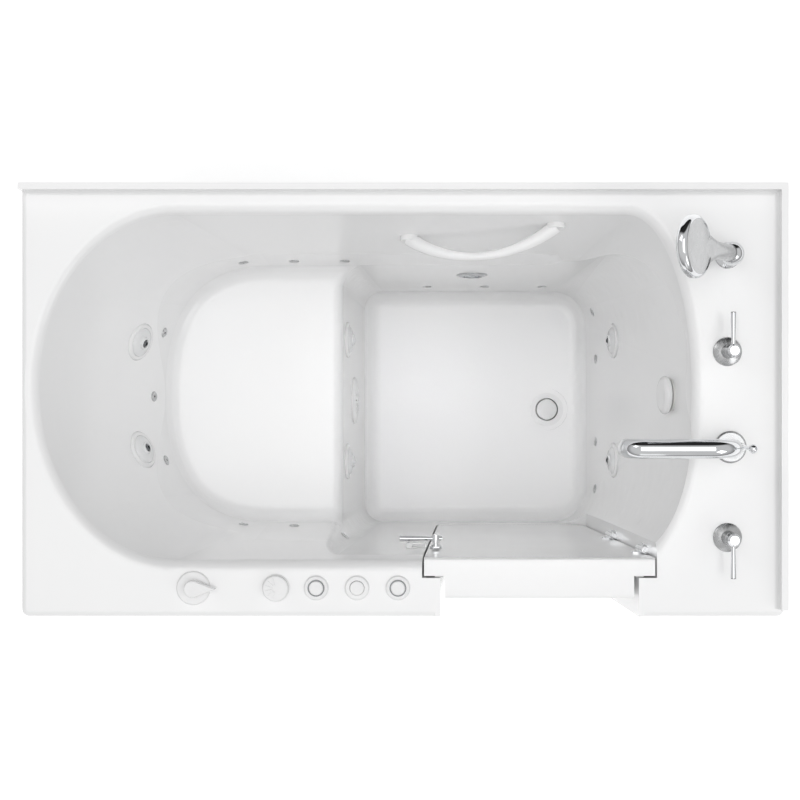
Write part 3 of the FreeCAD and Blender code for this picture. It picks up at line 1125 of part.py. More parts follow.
blower_top = V(-(mm("pump_rail_left") + mm("pump_rail_right")) / 2, -mm("blower_y"),
               low + mm("base_plate") + mm("blower_tall") + mm("blower_neck_tall"))
air_high = mm("air_pipe_high")
air_route = [blower_top, V(blower_top.x, blower_top.y, air_high),
             V(blower_top.x, -mm("air_pipe_y"), air_high),
             V(-mm("air_pipe_end"), -mm("air_pipe_y"), air_high)]
formed("air_manifold", tube(air_route, mm("air_pipe"), mm("air_bend"), mm("pipe_wall")))

point, normal = over_spot
over_end = point - normal * mm("over_deep")
tail = rod("waste_tail", "tail", "tail_long", "drain_x", "-drain_y",
           "floor_top - recess_deep - drain_long - tail_long")
run = rod("waste_run", "waste", "waste_riser + waste - drain_x", "drain_x", "-drain_y", "waste_high", RIGHT)
mouth = rod("waste_mouth", "waste_spigot", "waste_end - drain_x", "drain_x", "-drain_y", "waste_high", RIGHT)
riser = rod("waste_riser", "waste", "over_high - waste_high", "waste_riser", "over_y", "waste_high")
branch = formed("waste_branch",
                Part.makeCylinder(mm("waste"), mm("waste_riser") - over_end.x, over_end, RIGHT))
joined("waste_pipe", [tail, run, mouth, riser, branch])

# Valves below the faucet deck, with a cross tube and two supply inlets
valve_parts = []
body_low = "deck_top - wall - valve_body_tall"
valve_spots = (("hot", "faucet_x", "hot_y"), ("cold", "faucet_x", "-cold_y"), ("mix", "spout_x", "-spout_y"))
for name, x, y in valve_spots:
    valve_parts.append(rod("valve_" + name, "valve_body", "valve_body_tall", x, y, body_low))
for name, x, y in valve_spots[:2]:
    inlet_low = body_low + " - supply_drop"
    valve_parts.append(rod("supply_" + name, "supply", "supply_drop", x, y, inlet_low))
valve_parts.append(rod("valve_cross", "cross_tube", "hot_y + cold_y", "faucet_x", "-cold_y",
                       body_low + " + valve_body_tall/2 - cross_tube", BACK))
shank_holes = [rod("shank_hole_" + name, "valve_neck", "valve_shank", x, y, "deck_top - valve_shank")
               for name, x, y in valve_spots]
drilled("faucet_valves", joined("valve_stock", valve_parts), *shank_holes)

NODES = """tub_shell front_apron left_end_panel apron_screws support_frame levelling_feet foot_lock_nuts
    door_panel door_seal hinge_frame_leaves hinge_door_leaves hinge_pins latch_rosette latch_cam latch_lever
    latch_keeper jet_wall_fittings jet_face_1 jet_face_2 jet_face_3 jet_face_4 jet_face_5 jet_face_6
    suction_cover suction_body air_injectors light_bezel light_lens overflow_body overflow_cap
    drain_flange drain_stopper grab_bar faucet_escutcheons hot_lever cold_lever spout_base spout
    spout_aerator diverter_rod shower_holder hand_shower diverter_base diverter_knob air_control_base
    air_control_knob button_bezels button_rings button_1 button_2 button_3 pump_motor pump_wet_end
    air_blower control_box suction_pipe pressure_manifold air_manifold waste_pipe faucet_valves""".split()

doc.recompute()
for item in doc.Objects:
    if "Invalid" in item.State or "Error" in item.State:
        raise RuntimeError("not built: " + item.Label)
pieces = {item.Label: item for item in doc.Objects if item.Label in NODES}
for name in NODES:
    shape = pieces[name].Shape
    if shape.isNull() or not shape.isValid() or not shape.Solids:
        raise RuntimeError("no valid solid: " + name)
os.makedirs("parts", exist_ok=True)
for name in NODES:
    pieces[name].Shape.exportStep("parts/%s.step" % name)
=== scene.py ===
"""Looks of a walk-in jetted bath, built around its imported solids. All sizes are in metres."""
import json
import math

import bmesh
import bpy
from mathutils import Matrix, Vector

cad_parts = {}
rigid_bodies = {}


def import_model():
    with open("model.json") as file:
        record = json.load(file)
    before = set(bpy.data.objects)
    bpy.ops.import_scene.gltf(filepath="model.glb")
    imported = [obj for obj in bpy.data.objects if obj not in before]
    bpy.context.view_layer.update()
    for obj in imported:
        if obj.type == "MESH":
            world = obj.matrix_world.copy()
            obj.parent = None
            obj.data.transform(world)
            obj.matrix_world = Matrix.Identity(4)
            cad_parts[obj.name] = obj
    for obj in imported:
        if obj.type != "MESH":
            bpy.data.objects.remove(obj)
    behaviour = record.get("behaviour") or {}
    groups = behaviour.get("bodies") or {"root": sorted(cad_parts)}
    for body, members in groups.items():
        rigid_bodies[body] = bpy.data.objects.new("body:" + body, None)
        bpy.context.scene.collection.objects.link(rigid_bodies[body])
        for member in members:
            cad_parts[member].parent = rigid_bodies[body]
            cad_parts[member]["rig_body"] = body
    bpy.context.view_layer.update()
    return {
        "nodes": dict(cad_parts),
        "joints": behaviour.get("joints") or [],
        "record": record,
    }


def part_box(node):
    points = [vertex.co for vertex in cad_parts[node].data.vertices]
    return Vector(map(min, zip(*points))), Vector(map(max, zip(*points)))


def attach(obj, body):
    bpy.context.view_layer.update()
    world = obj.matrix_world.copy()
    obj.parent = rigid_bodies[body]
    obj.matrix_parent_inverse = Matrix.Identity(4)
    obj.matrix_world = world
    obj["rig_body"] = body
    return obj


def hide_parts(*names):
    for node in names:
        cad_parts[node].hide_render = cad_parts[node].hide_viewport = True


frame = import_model()

MM = 0.001
RIGHT = Vector((1, 0, 0))
BACK = Vector((0, 1, 0))
UP = Vector((0, 0, 1))
nodes = frame["nodes"]
joints = {joint["name"]: joint for joint in frame["joints"]}
slots = {row["node"]: row["material_slot"] for row in frame["record"]["subparts"]}
scene = bpy.context.scene


# Materials

DRIFT_DETAIL = 4.0
DRIFT_LOW, DRIFT_HIGH = 0.3, 0.7
BUMP_DETAIL = 2.0
BUMP_DEPTH = 1 * MM
COAT_ROUGHNESS = 0.06


def grey(light):
    """Colour without a hue."""
    return (light, light, light)


def noise(tree, source, scale, detail):
    """Noise over the coordinates that a socket gives."""
    node = tree.nodes.new("ShaderNodeTexNoise")
    node.inputs["Scale"].default_value = scale
    node.inputs["Detail"].default_value = detail
    tree.links.new(source, node.inputs["Vector"])
    return node.outputs["Fac"]


def fade(tree, value, start, start_colour, end, end_colour):
    """Colour that goes from one to another while a value runs from start to end."""
    ramp = tree.nodes.new("ShaderNodeValToRGB")
    first, last = ramp.color_ramp.elements
    first.position, last.position = start, end
    first.color = (*start_colour, 1.0)
    last.color = (*end_colour, 1.0)
    tree.links.new(value, ramp.inputs["Fac"])
    return ramp.outputs["Color"]


def finish(name, light, dark, smooth, rough, metal=0.0, grain=6.0, bump=0.0, bump_scale=80.0, coat=0.0,
           glass=0.0, stretch=(1.0, 1.0, 1.0)):
    """Material whose colour and gloss drift a little between two values over the surface."""
    material = bpy.data.materials.new(name)
    material.use_nodes = True
    tree = material.node_tree
    shader = tree.nodes["Principled BSDF"]
    coords = tree.nodes.new("ShaderNodeTexCoord")
    mapping = tree.nodes.new("ShaderNodeMapping")
    mapping.inputs["Scale"].default_value = stretch
    tree.links.new(coords.outputs["Object"], mapping.inputs["Vector"])
    drift = noise(tree, mapping.outputs["Vector"], grain, DRIFT_DETAIL)
    colour = fade(tree, drift, DRIFT_LOW, dark, DRIFT_HIGH, light)
    tree.links.new(colour, shader.inputs["Base Color"])
    gloss = tree.nodes.new("ShaderNodeMapRange")
    gloss.inputs["To Min"].default_value = smooth
    gloss.inputs["To Max"].default_value = rough
    tree.links.new(drift, gloss.inputs["Value"])
    tree.links.new(gloss.outputs["Result"], shader.inputs["Roughness"])
    shader.inputs["Metallic"].default_value = metal
    shader.inputs["Coat Weight"].default_value = coat
    shader.inputs["Coat Roughness"].default_value = COAT_ROUGHNESS
    shader.inputs["Transmission Weight"].default_value = glass
    if bump:
        texture = noise(tree, coords.outputs["Object"], bump_scale, BUMP_DETAIL)
        relief = tree.nodes.new("ShaderNodeBump")
        relief.inputs["Strength"].default_value = bump
        relief.inputs["Distance"].default_value = BUMP_DEPTH
        tree.links.new(texture, relief.inputs["Height"])
        tree.links.new(relief.outputs["Normal"], shader.inputs["Normal"])
    return material


acrylic = finish("acrylic", grey(0.955), (0.935, 0.936, 0.94), 0.10, 0.17, grain=3.0, coat=0.35)
trim = finish("white_trim", grey(0.90), (0.86, 0.86, 0.865), 0.14, 0.22, grain=20.0, coat=0.25)
panel = finish("panel", grey(0.88), (0.874, 0.875, 0.877), 0.26, 0.28, grain=5.0, bump=0.05,
               bump_scale=220.0)
chrome = finish("chrome", (0.86, 0.87, 0.88), (0.76, 0.77, 0.79), 0.03, 0.07, metal=1.0, grain=14.0)
satin = finish("satin_chrome", (0.60, 0.605, 0.61), (0.53, 0.535, 0.54), 0.22, 0.32, metal=1.0, grain=60.0)
dark_chrome = finish("dark_chrome", (0.24, 0.25, 0.26), (0.15, 0.155, 0.16), 0.08, 0.15, metal=1.0,
                     grain=30.0)
jet_plastic = finish("jet_trim", (0.86, 0.865, 0.87), (0.80, 0.805, 0.81), 0.10, 0.18, grain=30.0, coat=0.4)
steel = finish("brushed_steel", (0.62, 0.63, 0.64), (0.50, 0.51, 0.52), 0.20, 0.34, metal=1.0, grain=40.0,
               stretch=(1.0, 1.0, 12.0))
frame_paint = finish("frame_paint", (0.47, 0.49, 0.52), (0.38, 0.40, 0.43), 0.35, 0.5, grain=9.0, bump=0.15,
                     bump_scale=400.0)
seal_rubber = finish("seal_rubber", grey(0.72), grey(0.62), 0.45, 0.6, grain=25.0)
lens_glass = finish("lens", (0.92, 0.95, 0.98), (0.82, 0.88, 0.94), 0.03, 0.08, grain=40.0, glass=0.6)
mesh_plastic = finish("aerator", (0.22, 0.22, 0.23), (0.10, 0.10, 0.11), 0.4, 0.6, grain=300.0)
motor_paint = finish("motor_paint", (0.09, 0.095, 0.10), (0.05, 0.052, 0.056), 0.35, 0.5, grain=12.0,
                     bump=0.2, bump_scale=300.0)
black_plastic = finish("black_plastic", (0.07, 0.07, 0.075), (0.04, 0.04, 0.042), 0.4, 0.55, grain=18.0,
                       bump=0.15, bump_scale=350.0)
case_plastic = finish("case_plastic", (0.30, 0.31, 0.33), (0.24, 0.25, 0.26), 0.4, 0.55, grain=15.0,
                      bump=0.15, bump_scale=350.0)
pipe_plastic = finish("pipe_plastic", (0.84, 0.84, 0.82), (0.77, 0.77, 0.75), 0.3, 0.42, grain=14.0)
brass = finish("brass", (0.74, 0.57, 0.28), (0.60, 0.45, 0.21), 0.2, 0.35, metal=1.0, grain=30.0)
by_slot = {
    "acrylic": acrylic, "panel": panel, "white_trim": trim, "jet_trim": jet_plastic, "chrome": chrome,
    "steel": steel, "frame": frame_paint, "seal": seal_rubber, "lens": lens_glass, "aerator": mesh_plastic,
    "motor": motor_paint, "wet_end": black_plastic, "blower": black_plastic, "case": case_plastic,
    "pipe": pipe_plastic, "brass": brass,
}


def dress(piece, material):
    """Give every slot of a piece one material."""
    if not piece.material_slots:
        piece.data.materials.append(material)
    for place in piece.material_slots:
        place.material = material


for name, node in nodes.items():
    dress(node, by_slot[slots[name]])


# Shapes

CRISP_ANGLE = math.radians(35)
ROUNDED_ANGLE = math.radians(32)
FLAT_ANGLE = math.radians(1)
WELD_REACH = 0.002 * MM
EDGE_STEPS = 3


def add_piece(name, mesh, body, material, replaced=()):
    """Put a mesh into the scene as a piece that rides on a body."""
    piece = bpy.data.objects.new(name, mesh)
    scene.collection.objects.link(piece)
    dress(piece, material)
    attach(piece, body)
    if replaced:
        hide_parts(*replaced)
    return piece


def along(point, axis):
    """Frame with its own Z along an axis."""
    return Matrix.Translation(point) @ Vector(axis).to_track_quat("Z", "Y").to_matrix().to_4x4()


def as_mesh(name, draft, place=None):
    """Mesh of a draft, put in its place."""
    mesh = bpy.data.meshes.new(name)
    draft.to_mesh(mesh)
    draft.free()
    if place is not None:
        mesh.transform(place)
    return mesh


def shade(mesh):
    """Smooth shading, with sharp edges kept crisp."""
    mesh.shade_smooth()
    mesh.set_sharp_from_angle(angle=CRISP_ANGLE)
    return mesh


def ring(draft, wide, deep, height, steps):
    """Points of a level ellipse with two half widths, or the one point that it shrinks to."""
    if wide == 0:
        return [draft.verts.new((0, 0, height))]
    turns = [2 * math.pi * step / steps for step in range(steps)]
    return [draft.verts.new((wide * math.cos(turn), deep * math.sin(turn), height)) for turn in turns]


def skin(draft, rings, steps):
    """Faces between each ring and the next."""
    for low, high in zip(rings, rings[1:]):
        for step in range(steps):
            after = (step + 1) % steps
            corners = [low[step % len(low)], low[after % len(low)]]
            corners += [high[after % len(high)], high[step % len(high)]]
            draft.faces.new(list(dict.fromkeys(corners)))


def turned(name, profile, place=None, steps=64, closed=False):
    """Mesh turned about Z from (radius, height) points, then put in its place."""
    draft = bmesh.new()
    rings = [ring(draft, radius, radius, height, steps) for radius, height in profile]
    skin(draft, rings + rings[:1] if closed else rings, steps)
    bmesh.ops.recalc_face_normals(draft, faces=draft.faces)
    return as_mesh(name, draft, place)


def lofted(name, sections, place, steps=48):
    """Closed mesh through ellipses of (half width, half depth, height)."""
    draft = bmesh.new()
    rings = [ring(draft, wide, deep, height, steps) for wide, deep, height in sections]
    skin(draft, rings, steps)
    draft.faces.new(list(reversed(rings[0])))
    draft.faces.new(rings[-1])
    return shade(as_mesh(name, draft, place))


def arc(centre, radius, start, end, steps=8):
    """Points of an arc in a profile, angles in degrees from the outward direction."""
    across, level = centre
    turns = [math.radians(start + (end - start) * step / steps) for step in range(steps + 1)]
    return [(max(across + radius * math.cos(turn), 0), level + radius * math.sin(turn)) for turn in turns]


def softened(name, width, material):
    """Copy of a solid with its sharp edges rounded off, shown in the solid's place."""
    draft = bmesh.new()
    draft.from_mesh(nodes[name].data)
    bmesh.ops.remove_doubles(draft, verts=draft.verts, dist=WELD_REACH)
    bmesh.ops.dissolve_limit(draft, angle_limit=FLAT_ANGLE, verts=draft.verts, edges=draft.edges)
    mesh = as_mesh(name + "_soft", draft)
    if "custom_normal" in mesh.attributes:
        mesh.attributes.remove(mesh.attributes["custom_normal"])
    mesh.materials.clear()
    mesh.shade_smooth()
    piece = add_piece(name + "_soft", mesh, nodes[name]["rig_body"], material, [name])
    edge = piece.modifiers.new("edge", "BEVEL")
    edge.width = width
    edge.segments = EDGE_STEPS
    edge.limit_method = "ANGLE"
    edge.angle_limit = ROUNDED_ANGLE
    edge.harden_normals = True


# Solids with rounded edges, listed by the width of the rounding in millimetres

SOFT_EDGES = {
    0.4: """air_injectors button_rings hinge_frame_leaves hinge_door_leaves latch_cam drain_flange
            foot_lock_nuts""",
    0.8: """latch_rosette latch_keeper latch_lever jet_wall_fittings suction_cover light_bezel drain_stopper
            faucet_escutcheons spout_base diverter_base air_control_base air_control_knob button_bezels
            button_1 button_2 button_3 shower_holder hot_lever cold_lever jet_face_1 jet_face_2 jet_face_3
            jet_face_4 jet_face_5 jet_face_6 faucet_valves""",
    1.2: "front_apron left_end_panel support_frame levelling_feet door_seal waste_pipe",
    2.5: "diverter_knob overflow_cap pump_motor pump_wet_end air_blower",
    5.0: "control_box",
}
SPECIAL = {
    "faucet_escutcheons": satin, "spout_base": satin, "drain_flange": trim, "drain_stopper": trim,
    "latch_keeper": trim, "air_injectors": satin, "button_rings": dark_chrome,
}
for width, names in SOFT_EDGES.items():
    for name in names.split():
        softened(name, width * MM, SPECIAL.get(name, by_slot[slots[name]]))


# Hand shower, drawn about its handle and then leaned into the holder. The rim's sweep is in degrees.

HOLDER = Vector((0.571, 0.255, 0.980))
GRIP = 15 * MM
HANDLE_FOOT, HANDLE_CHAMFER = -8 * MM, 1 * MM
NECK_START, NECK_END, NECK_STEPS = 58 * MM, 139 * MM, 16
NECK_THIN, NECK_BROAD = 9.5 * MM, 34 * MM
HEAD_MIDDLE, HEAD_RADIUS, HEAD_HALF, HEAD_STEPS = 152.5 * MM, 53 * MM, 10 * MM, 96
RIM_BEAD, RIM_SWEEP = 8 * MM, 80
RIM_BACK_INSET, RIM_BACK_SINK = 7 * MM, 1.2 * MM
RIM_FACE_INSET, RIM_FACE_SINK = 9 * MM, 1.5 * MM
BACK_EDGE = HEAD_RADIUS - 6.4 * MM
BACK_DOME = ((0, 0.4 * MM), (0.5, 0.2 * MM), (0.85, -0.4 * MM), (1, -1.4 * MM))
FACE_EDGE, FACE_LEVEL, FACE_THICK = HEAD_RADIUS - 8.4 * MM, 1.2 * MM - HEAD_HALF, 6 * MM
SPRAY_RINGS, SPRAY_GAIN, SPRAY_STEP = 5, 7, 8.6 * MM
SPRAY_TIP, SPRAY_ROOT, SPRAY_LONG, SPRAY_RISE, SPRAY_SIDES = 0.8 * MM, 1.4 * MM, 2 * MM, 0.6 * MM, 12
lean = Vector(joints["shower_lift"]["axis"]).normalized()
side = BACK.cross(lean)
shower_place = Matrix.Translation(HOLDER) @ Matrix((side, BACK, lean)).transposed().to_4x4()
head_place = shower_place @ along((0, 0, HEAD_MIDDLE), RIGHT)


def shower_handle():
    """Round grip that widens into a flat neck behind the head."""
    end = GRIP - HANDLE_CHAMFER
    sections = [(end, end, HANDLE_FOOT), (GRIP, GRIP, HANDLE_FOOT + HANDLE_CHAMFER)]
    for step in range(NECK_STEPS + 1):
        share = step / NECK_STEPS
        ease = share * share * (3 - 2 * share)
        height = NECK_START + (NECK_END - NECK_START) * share
        sections.append((GRIP + (NECK_THIN - GRIP) * ease, GRIP + (NECK_BROAD - GRIP) * ease, height))
    return lofted("shower_handle", sections, shower_place)


def shower_rim():
    """Thick plated rim of the head."""
    bead_centre = HEAD_RADIUS - RIM_BEAD
    profile = [(HEAD_RADIUS - RIM_BACK_INSET, HEAD_HALF - RIM_BACK_SINK)]
    profile += arc((bead_centre, HEAD_HALF - RIM_BEAD), RIM_BEAD, RIM_SWEEP, 0)
    profile += arc((bead_centre, RIM_BEAD - HEAD_HALF), RIM_BEAD, 0, -RIM_SWEEP)
    profile += [(HEAD_RADIUS - RIM_FACE_INSET, RIM_FACE_SINK - HEAD_HALF)]
    return shade(turned("shower_rim", profile, head_place, HEAD_STEPS, closed=True))


def shower_back():
    """Slightly domed satin back of the head."""
    profile = [(BACK_EDGE * share, HEAD_HALF + rise) for share, rise in BACK_DOME]
    profile += [(BACK_EDGE, 0), (0, 0)]
    return shade(turned("shower_back", profile, head_place, HEAD_STEPS))


def shower_face():
    """Spray face with rings of small nozzles, each ring with some more than the last."""
    top = FACE_LEVEL + FACE_THICK
    plate = [(0, FACE_LEVEL), (FACE_EDGE, FACE_LEVEL), (FACE_EDGE, top), (0, top)]
    draft = bmesh.new()
    draft.from_mesh(turned("spray_plate", plate, steps=HEAD_STEPS))
    for number in range(SPRAY_RINGS):
        count = max(1, SPRAY_GAIN * number)
        reach = SPRAY_STEP * number
        for index in range(count):
            turn = 2 * math.pi * index / count
            spot = (reach * math.cos(turn), reach * math.sin(turn), FACE_LEVEL - SPRAY_RISE)
            bmesh.ops.create_cone(draft, cap_ends=True, segments=SPRAY_SIDES, radius1=SPRAY_TIP,
                                  radius2=SPRAY_ROOT, depth=SPRAY_LONG, matrix=Matrix.Translation(spot))
    return shade(as_mesh("shower_face", draft, head_place))


add_piece("shower_handle", shower_handle(), "shower", satin, ["hand_shower"])
add_piece("shower_rim", shower_rim(), "shower", chrome)
add_piece("shower_back", shower_back(), "shower", satin)
add_piece("shower_face", shower_face(), "shower", case_plastic)


# Jet nozzles: balls with a hole, from foot to lip in degrees, dark where the photograph shows them so

JETS = 6
DARK_NOZZLES = (1, 2, 3, 4)
NOZZLE, NOZZLE_RISE, NOZZLE_STEPS = 8.2 * MM, 7.0 * MM, 16
NOZZLE_FOOT, NOZZLE_LIP = -90, 65
NOZZLE_HOLE, NOZZLE_FLOOR = 3.2 * MM, NOZZLE_RISE + 5 * MM
ball = arc((0, NOZZLE_RISE), NOZZLE, NOZZLE_FOOT, NOZZLE_LIP, NOZZLE_STEPS)
ball += [(NOZZLE_HOLE, NOZZLE_FLOOR), (0, NOZZLE_FLOOR)]
for number in range(1, JETS + 1):
    joint = joints["jet_turn_%d" % number]
    centre, out = Vector(joint["pos_m"]), Vector(joint["axis"]).normalized()
    mesh = shade(turned("jet_nozzle", ball, along(centre, out)))
    add_piece("jet_nozzle_%d" % number, mesh, "jet_%d" % number,
              dark_chrome if number in DARK_NOZZLES else jet_plastic)


# Lever tips

TIP, TIP_FLAT, TIP_DROP, TIP_STEPS = 4.6 * MM, 3.8 * MM, 12 * MM, 32
TIP_FOOT, TIP_SIDE, TIP_CHAMFER, TIP_CROWN = -0.5 * MM, 0.6 * MM, 1.4 * MM, 1.6 * MM
cap = [(0, TIP_FOOT), (TIP, TIP_FOOT), (TIP, TIP_SIDE), (TIP_FLAT, TIP_CHAMFER), (0, TIP_CROWN)]
for side_name, body, end in (("hot", "hot_handle", 1), ("cold", "cold_handle", -1)):
    low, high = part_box(side_name + "_lever")
    tip = Vector(((low.x + high.x) / 2, high.y if end > 0 else low.y, high.z - TIP_DROP))
    mesh = shade(turned("lever_tip", cap, along(tip, (0, end, 0)), TIP_STEPS))
    add_piece(side_name + "_lever_tip", mesh, body, dark_chrome)


# Hinge and keeper screws, each with a socket that is a share of its head

SOCKET_SHARE, SOCKET_FLOOR, SCREW_SINK = 0.45, 0.35, 0.3 * MM
SCREW_STEPS, SCREW_ARC_STEPS = 24, 5
HINGE_DROPS = (88 * MM, 376 * MM)
SCREW, SCREW_TALL, SCREW_REACH = 3.0 * MM, 1.2 * MM, -13 * MM
LEAF_FACE = -4.4 * MM
KEEPER_SCREW, KEEPER_SCREW_TALL = 2.4 * MM, 1.0 * MM
KEEPER_INSET, KEEPER_RISES = 5.5 * MM, (-5 * MM, 5 * MM)


def button_head(name, place, radius, tall, body, material):
    """Domed screw head with a socket."""
    socket = radius * SOCKET_SHARE
    profile = [(0, tall * SOCKET_FLOOR), (socket, tall * SOCKET_FLOOR), (socket, tall)]
    profile += arc((radius - tall, 0), tall, 90, 0, SCREW_ARC_STEPS)
    profile += [(radius, -SCREW_SINK), (0, -SCREW_SINK)]
    add_piece(name, shade(turned(name, profile, place, SCREW_STEPS)), body, material)


door_joint = joints["door_swing"]
hinge_line = -Vector(door_joint["axis"]).normalized()
hinge_across = BACK.cross(hinge_line)
for place_name, drop in zip(("high", "low"), HINGE_DROPS):
    middle = Vector(door_joint["pos_m"]) - hinge_line * (drop / hinge_line.z)
    spot = middle + hinge_across * SCREW_REACH + BACK * LEAF_FACE
    button_head("door_leaf_screw_" + place_name, along(spot, BACK), SCREW, SCREW_TALL, "door", chrome)

low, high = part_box("latch_keeper")
for number, rise in enumerate(KEEPER_RISES, start=1):
    spot = Vector((low.x + KEEPER_INSET, high.y, (low.z + high.z) / 2 + rise))
    button_head("keeper_screw_%d" % number, along(spot, BACK), KEEPER_SCREW, KEEPER_SCREW_TALL, "tub",
                chrome)


# Equipment under the seat, open to view from behind

BAND_ROUNDING = 0.4
SLAB_STEPS, SLAB_PROFILE = 3, 0.5


def band(name, place, inner, outer, length, material):
    """Ring round a pipe, drum or motor, with rounded corners."""
    half = length / 2
    round_off = (outer - inner) * BAND_ROUNDING
    profile = [(inner, -half), (outer - round_off, -half), (outer, round_off - half),
               (outer, half - round_off), (outer - round_off, half), (inner, half)]
    add_piece(name, shade(turned(name, profile, place, closed=True)), "tub", material)


def slab(name, low, high, material, edge):
    """Box between two corners, with rounded edges."""
    draft = bmesh.new()
    size = Vector(high) - Vector(low)
    place = Matrix.Translation((Vector(high) + Vector(low)) / 2) @ Matrix.Diagonal((*size, 1))
    bmesh.ops.create_cube(draft, size=1.0, matrix=place)
    bmesh.ops.bevel(draft, geom=draft.edges[:], offset=edge, segments=SLAB_STEPS, profile=SLAB_PROFILE,
                    affect="EDGES")
    add_piece(name, shade(as_mesh(name, draft)), "tub", material)


# Pump: fins at even shares of the motor's length, terminal box and suction union

MOTOR_RADIUS, MOTOR_HIGH, MOTOR_LONG = 70 * MM, 171 * MM, 205 * MM
FINS, FIN_START, FIN_STEP = 9, 0.14, 0.09
FIN_ROOT, FIN_TOP, FIN_WIDE = MOTOR_RADIUS - 2 * MM, MOTOR_RADIUS + 4 * MM, 5 * MM
TERMINAL_START, TERMINAL_END, TERMINAL_HALF = 60 * MM, 140 * MM, 32 * MM
TERMINAL_FOOT, TERMINAL_TOP, TERMINAL_EDGE = MOTOR_HIGH + 60 * MM, MOTOR_HIGH + 98 * MM, 4 * MM
SUCTION_INNER, SUCTION_OUTER, SUCTION_LONG, SUCTION_BACK = 25 * MM, 33 * MM, 28 * MM, 4 * MM
motor_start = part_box("pump_motor")[0].x
for number in range(FINS):
    spot = (motor_start + MOTOR_LONG * (FIN_START + FIN_STEP * number), 0, MOTOR_HIGH)
    band("motor_fin_%d" % (number + 1), along(spot, RIGHT), FIN_ROOT, FIN_TOP, FIN_WIDE,
         motor_paint)
slab("motor_terminal_box", (motor_start + TERMINAL_START, -TERMINAL_HALF, TERMINAL_FOOT),
     (motor_start + TERMINAL_END, TERMINAL_HALF, TERMINAL_TOP), motor_paint, TERMINAL_EDGE)
suction_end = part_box("pump_wet_end")[1].x - SUCTION_BACK
band("suction_union", along((suction_end, 0, MOTOR_HIGH), RIGHT), SUCTION_INNER, SUCTION_OUTER, SUCTION_LONG,
     black_plastic)


# Blower: ribs round the drum and a union on top

RIBS, RIB_START, RIB_STEP = 6, 30 * MM, 20 * MM
RIB_ROOT, RIB_TOP, RIB_WIDE = 78 * MM, 83 * MM, 6 * MM
UNION_INNER, UNION_OUTER, UNION_LONG, UNION_DROP = 10 * MM, 18 * MM, 24 * MM, 2 * MM
low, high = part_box("air_blower")
blower_axis = Vector(((low.x + high.x) / 2, (low.y + high.y) / 2, 0))
for number in range(RIBS):
    spot = blower_axis + UP * (low.z + RIB_START + RIB_STEP * number)
    band("blower_rib_%d" % (number + 1), along(spot, UP), RIB_ROOT, RIB_TOP, RIB_WIDE,
         black_plastic)
spot = blower_axis + UP * (high.z - UNION_DROP)
band("blower_union", along(spot, UP), UNION_INNER, UNION_OUTER, UNION_LONG, pipe_plastic)


# Control box: a lid with a screw in each corner

LID_SIDE, LID_END, LID_SINK, LID_RISE, LID_EDGE = 6 * MM, 8 * MM, 2 * MM, 5 * MM, 3 * MM
LID_SCREW, LID_SCREW_TALL, LID_SCREW_SIDE, LID_SCREW_END = 4 * MM, 1.6 * MM, 14 * MM, 18 * MM
low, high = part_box("control_box")
slab("control_lid", (low.x + LID_SIDE, high.y - LID_SINK, low.z + LID_END),
     (high.x - LID_SIDE, high.y + LID_RISE, high.z - LID_END), case_plastic, LID_EDGE)
levels = (low.z + LID_SCREW_END, high.z - LID_SCREW_END)
columns = (high.x - LID_SCREW_SIDE, low.x + LID_SCREW_SIDE)
corners = [Vector((column, high.y + LID_RISE, level)) for level in levels for column in columns]
for number, spot in enumerate(corners, start=1):
    button_head("lid_screw_%d" % number, along(spot, BACK), LID_SCREW, LID_SCREW_TALL, "tub", steel)


# Studio: pale floor, soft lights, a sky that plated pieces mirror, and a camera straight above

FLOOR_HALF, FLOOR_GLOW = 12.0, 0.38
WIDE_BEAM = 180.0
SKY = 0.62
# Where the sky changes: parts of a unit direction, up for the horizon and back for the dark
HORIZON, HORIZON_LIGHT = 0.0, 0.45
CLEAR, CLEAR_LIGHT = 0.35, 1.0
DARK_START, DARK_END, DARK_LIGHT = 0.60, 0.72, 0.04
CAMERA_PLACE = (-0.0053, 0.0009, 3.64)
LENS, SENSOR, CLIP_END = 69.0, 36.0, 60.0


def studio_floor():
    """Wide pale floor under the bath."""
    mesh = bpy.data.meshes.new("studio_floor")
    corners = [(across * FLOOR_HALF, back * FLOOR_HALF, 0) for across, back in
               ((-1, -1), (1, -1), (1, 1), (-1, 1))]
    mesh.from_pydata(corners, [], [range(4)])
    floor = bpy.data.objects.new("studio_floor", mesh)
    scene.collection.objects.link(floor)
    pale = finish("pale_floor", grey(0.97), grey(0.95), 0.6, 0.7, grain=2.0)
    shader = pale.node_tree.nodes["Principled BSDF"]
    shader.inputs["Emission Color"].default_value = (1.0, 1.0, 1.0, 1.0)
    shader.inputs["Emission Strength"].default_value = FLOOR_GLOW
    dress(floor, pale)


def area_light(name, place, aim, size, power, spread=WIDE_BEAM):
    """Square soft light at a place, turned to its aim. A narrow beam isn't mirrored."""
    data = bpy.data.lights.new(name, "AREA")
    data.size = size
    data.energy = power
    data.spread = math.radians(spread)
    lamp = bpy.data.objects.new(name, data)
    lamp.visible_glossy = spread == WIDE_BEAM
    lamp.location = place
    lamp.rotation_euler = (Vector(aim) - Vector(place)).to_track_quat("-Z", "Y").to_euler()
    scene.collection.objects.link(lamp)


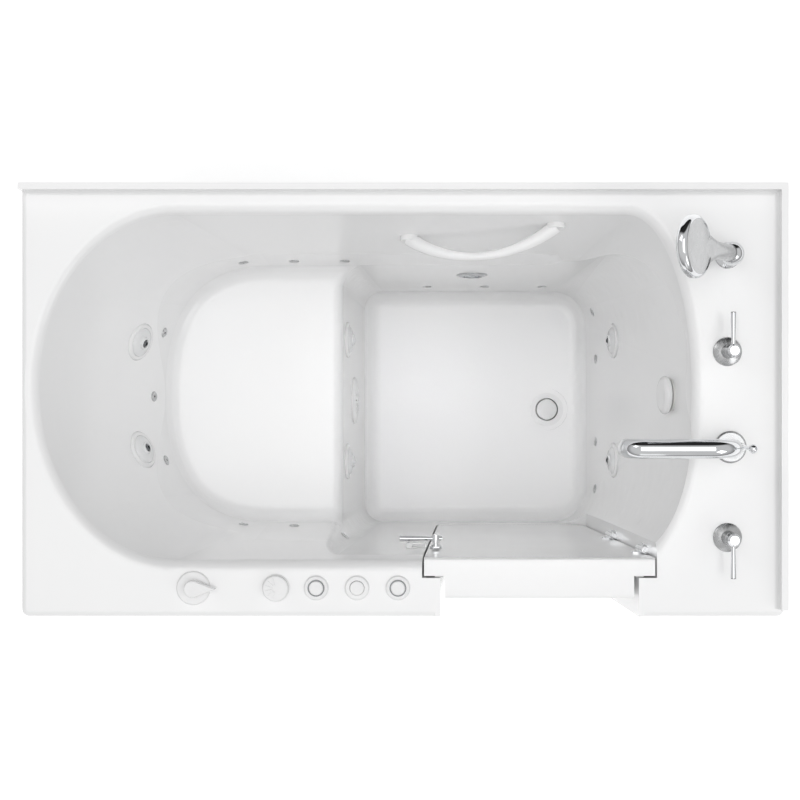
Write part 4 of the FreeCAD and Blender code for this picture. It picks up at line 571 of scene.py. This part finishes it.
def product(tree, first, second):
    """Two greys multiplied, the second may be a plain number."""
    node = tree.nodes.new("ShaderNodeMath")
    node.operation = "MULTIPLY"
    tree.links.new(first, node.inputs[0])
    if isinstance(second, float):
        node.inputs[1].default_value = second
    else:
        tree.links.new(second, node.inputs[1])
    return node.outputs["Value"]


def studio_world():
    """Bright sky, greyer near the horizon and dark behind the bath.

    Plated pieces mirror the dark part as dark strips.
    """
    world = bpy.data.worlds.new("studio")
    scene.world = world
    world.use_nodes = True
    tree = world.node_tree
    coords = tree.nodes.new("ShaderNodeTexCoord")
    split = tree.nodes.new("ShaderNodeSeparateXYZ")
    tree.links.new(coords.outputs["Generated"], split.inputs["Vector"])
    above = fade(tree, split.outputs["Z"], HORIZON, grey(HORIZON_LIGHT), CLEAR, grey(CLEAR_LIGHT))
    behind = fade(tree, split.outputs["Y"], DARK_START, grey(CLEAR_LIGHT), DARK_END, grey(DARK_LIGHT))
    strength = product(tree, product(tree, above, behind), SKY)
    background = tree.nodes["Background"]
    tree.links.new(strength, background.inputs["Strength"])
    background.inputs["Color"].default_value = (1.0, 1.0, 1.0, 1.0)


def photo_camera():
    """Camera at the photograph's place: high above the middle, looking straight down."""
    data = bpy.data.cameras.new("photo_camera")
    data.lens = LENS
    data.sensor_width = SENSOR
    data.clip_end = CLIP_END
    camera = bpy.data.objects.new("photo_camera", data)
    camera.location = CAMERA_PLACE
    scene.collection.objects.link(camera)
    scene.camera = camera


studio_floor()
area_light("overhead", (0, 0, 13.5), (0, 0, 0), size=9.9, power=440.0)
area_light("key", (-1.9, 1.6, 2.9), (0, 0, 0.8), size=1.2, power=5.0)
area_light("backrest", (0.9, 0, 3.2), (-0.50, 0, 0.70), size=0.5, power=0.05, spread=20.0)
area_light("fill", (2.1, -1.4, 2.7), (0, 0, 0.7), size=1.2, power=7.0)
area_light("front", (0.2, -3.2, 2.0), (0, 0, 0.6), size=1.6, power=3.0)
area_light("well_right", (1.2, 0, 3.0), (0.04, 0, 0.34), size=0.4, power=0.13, spread=14.0)
area_light("well_left", (-0.9, 0, 3.0), (0.36, 0, 0.36), size=0.4, power=0.11, spread=14.0)
studio_world()
photo_camera()
scene.view_settings.view_transform = "Standard"
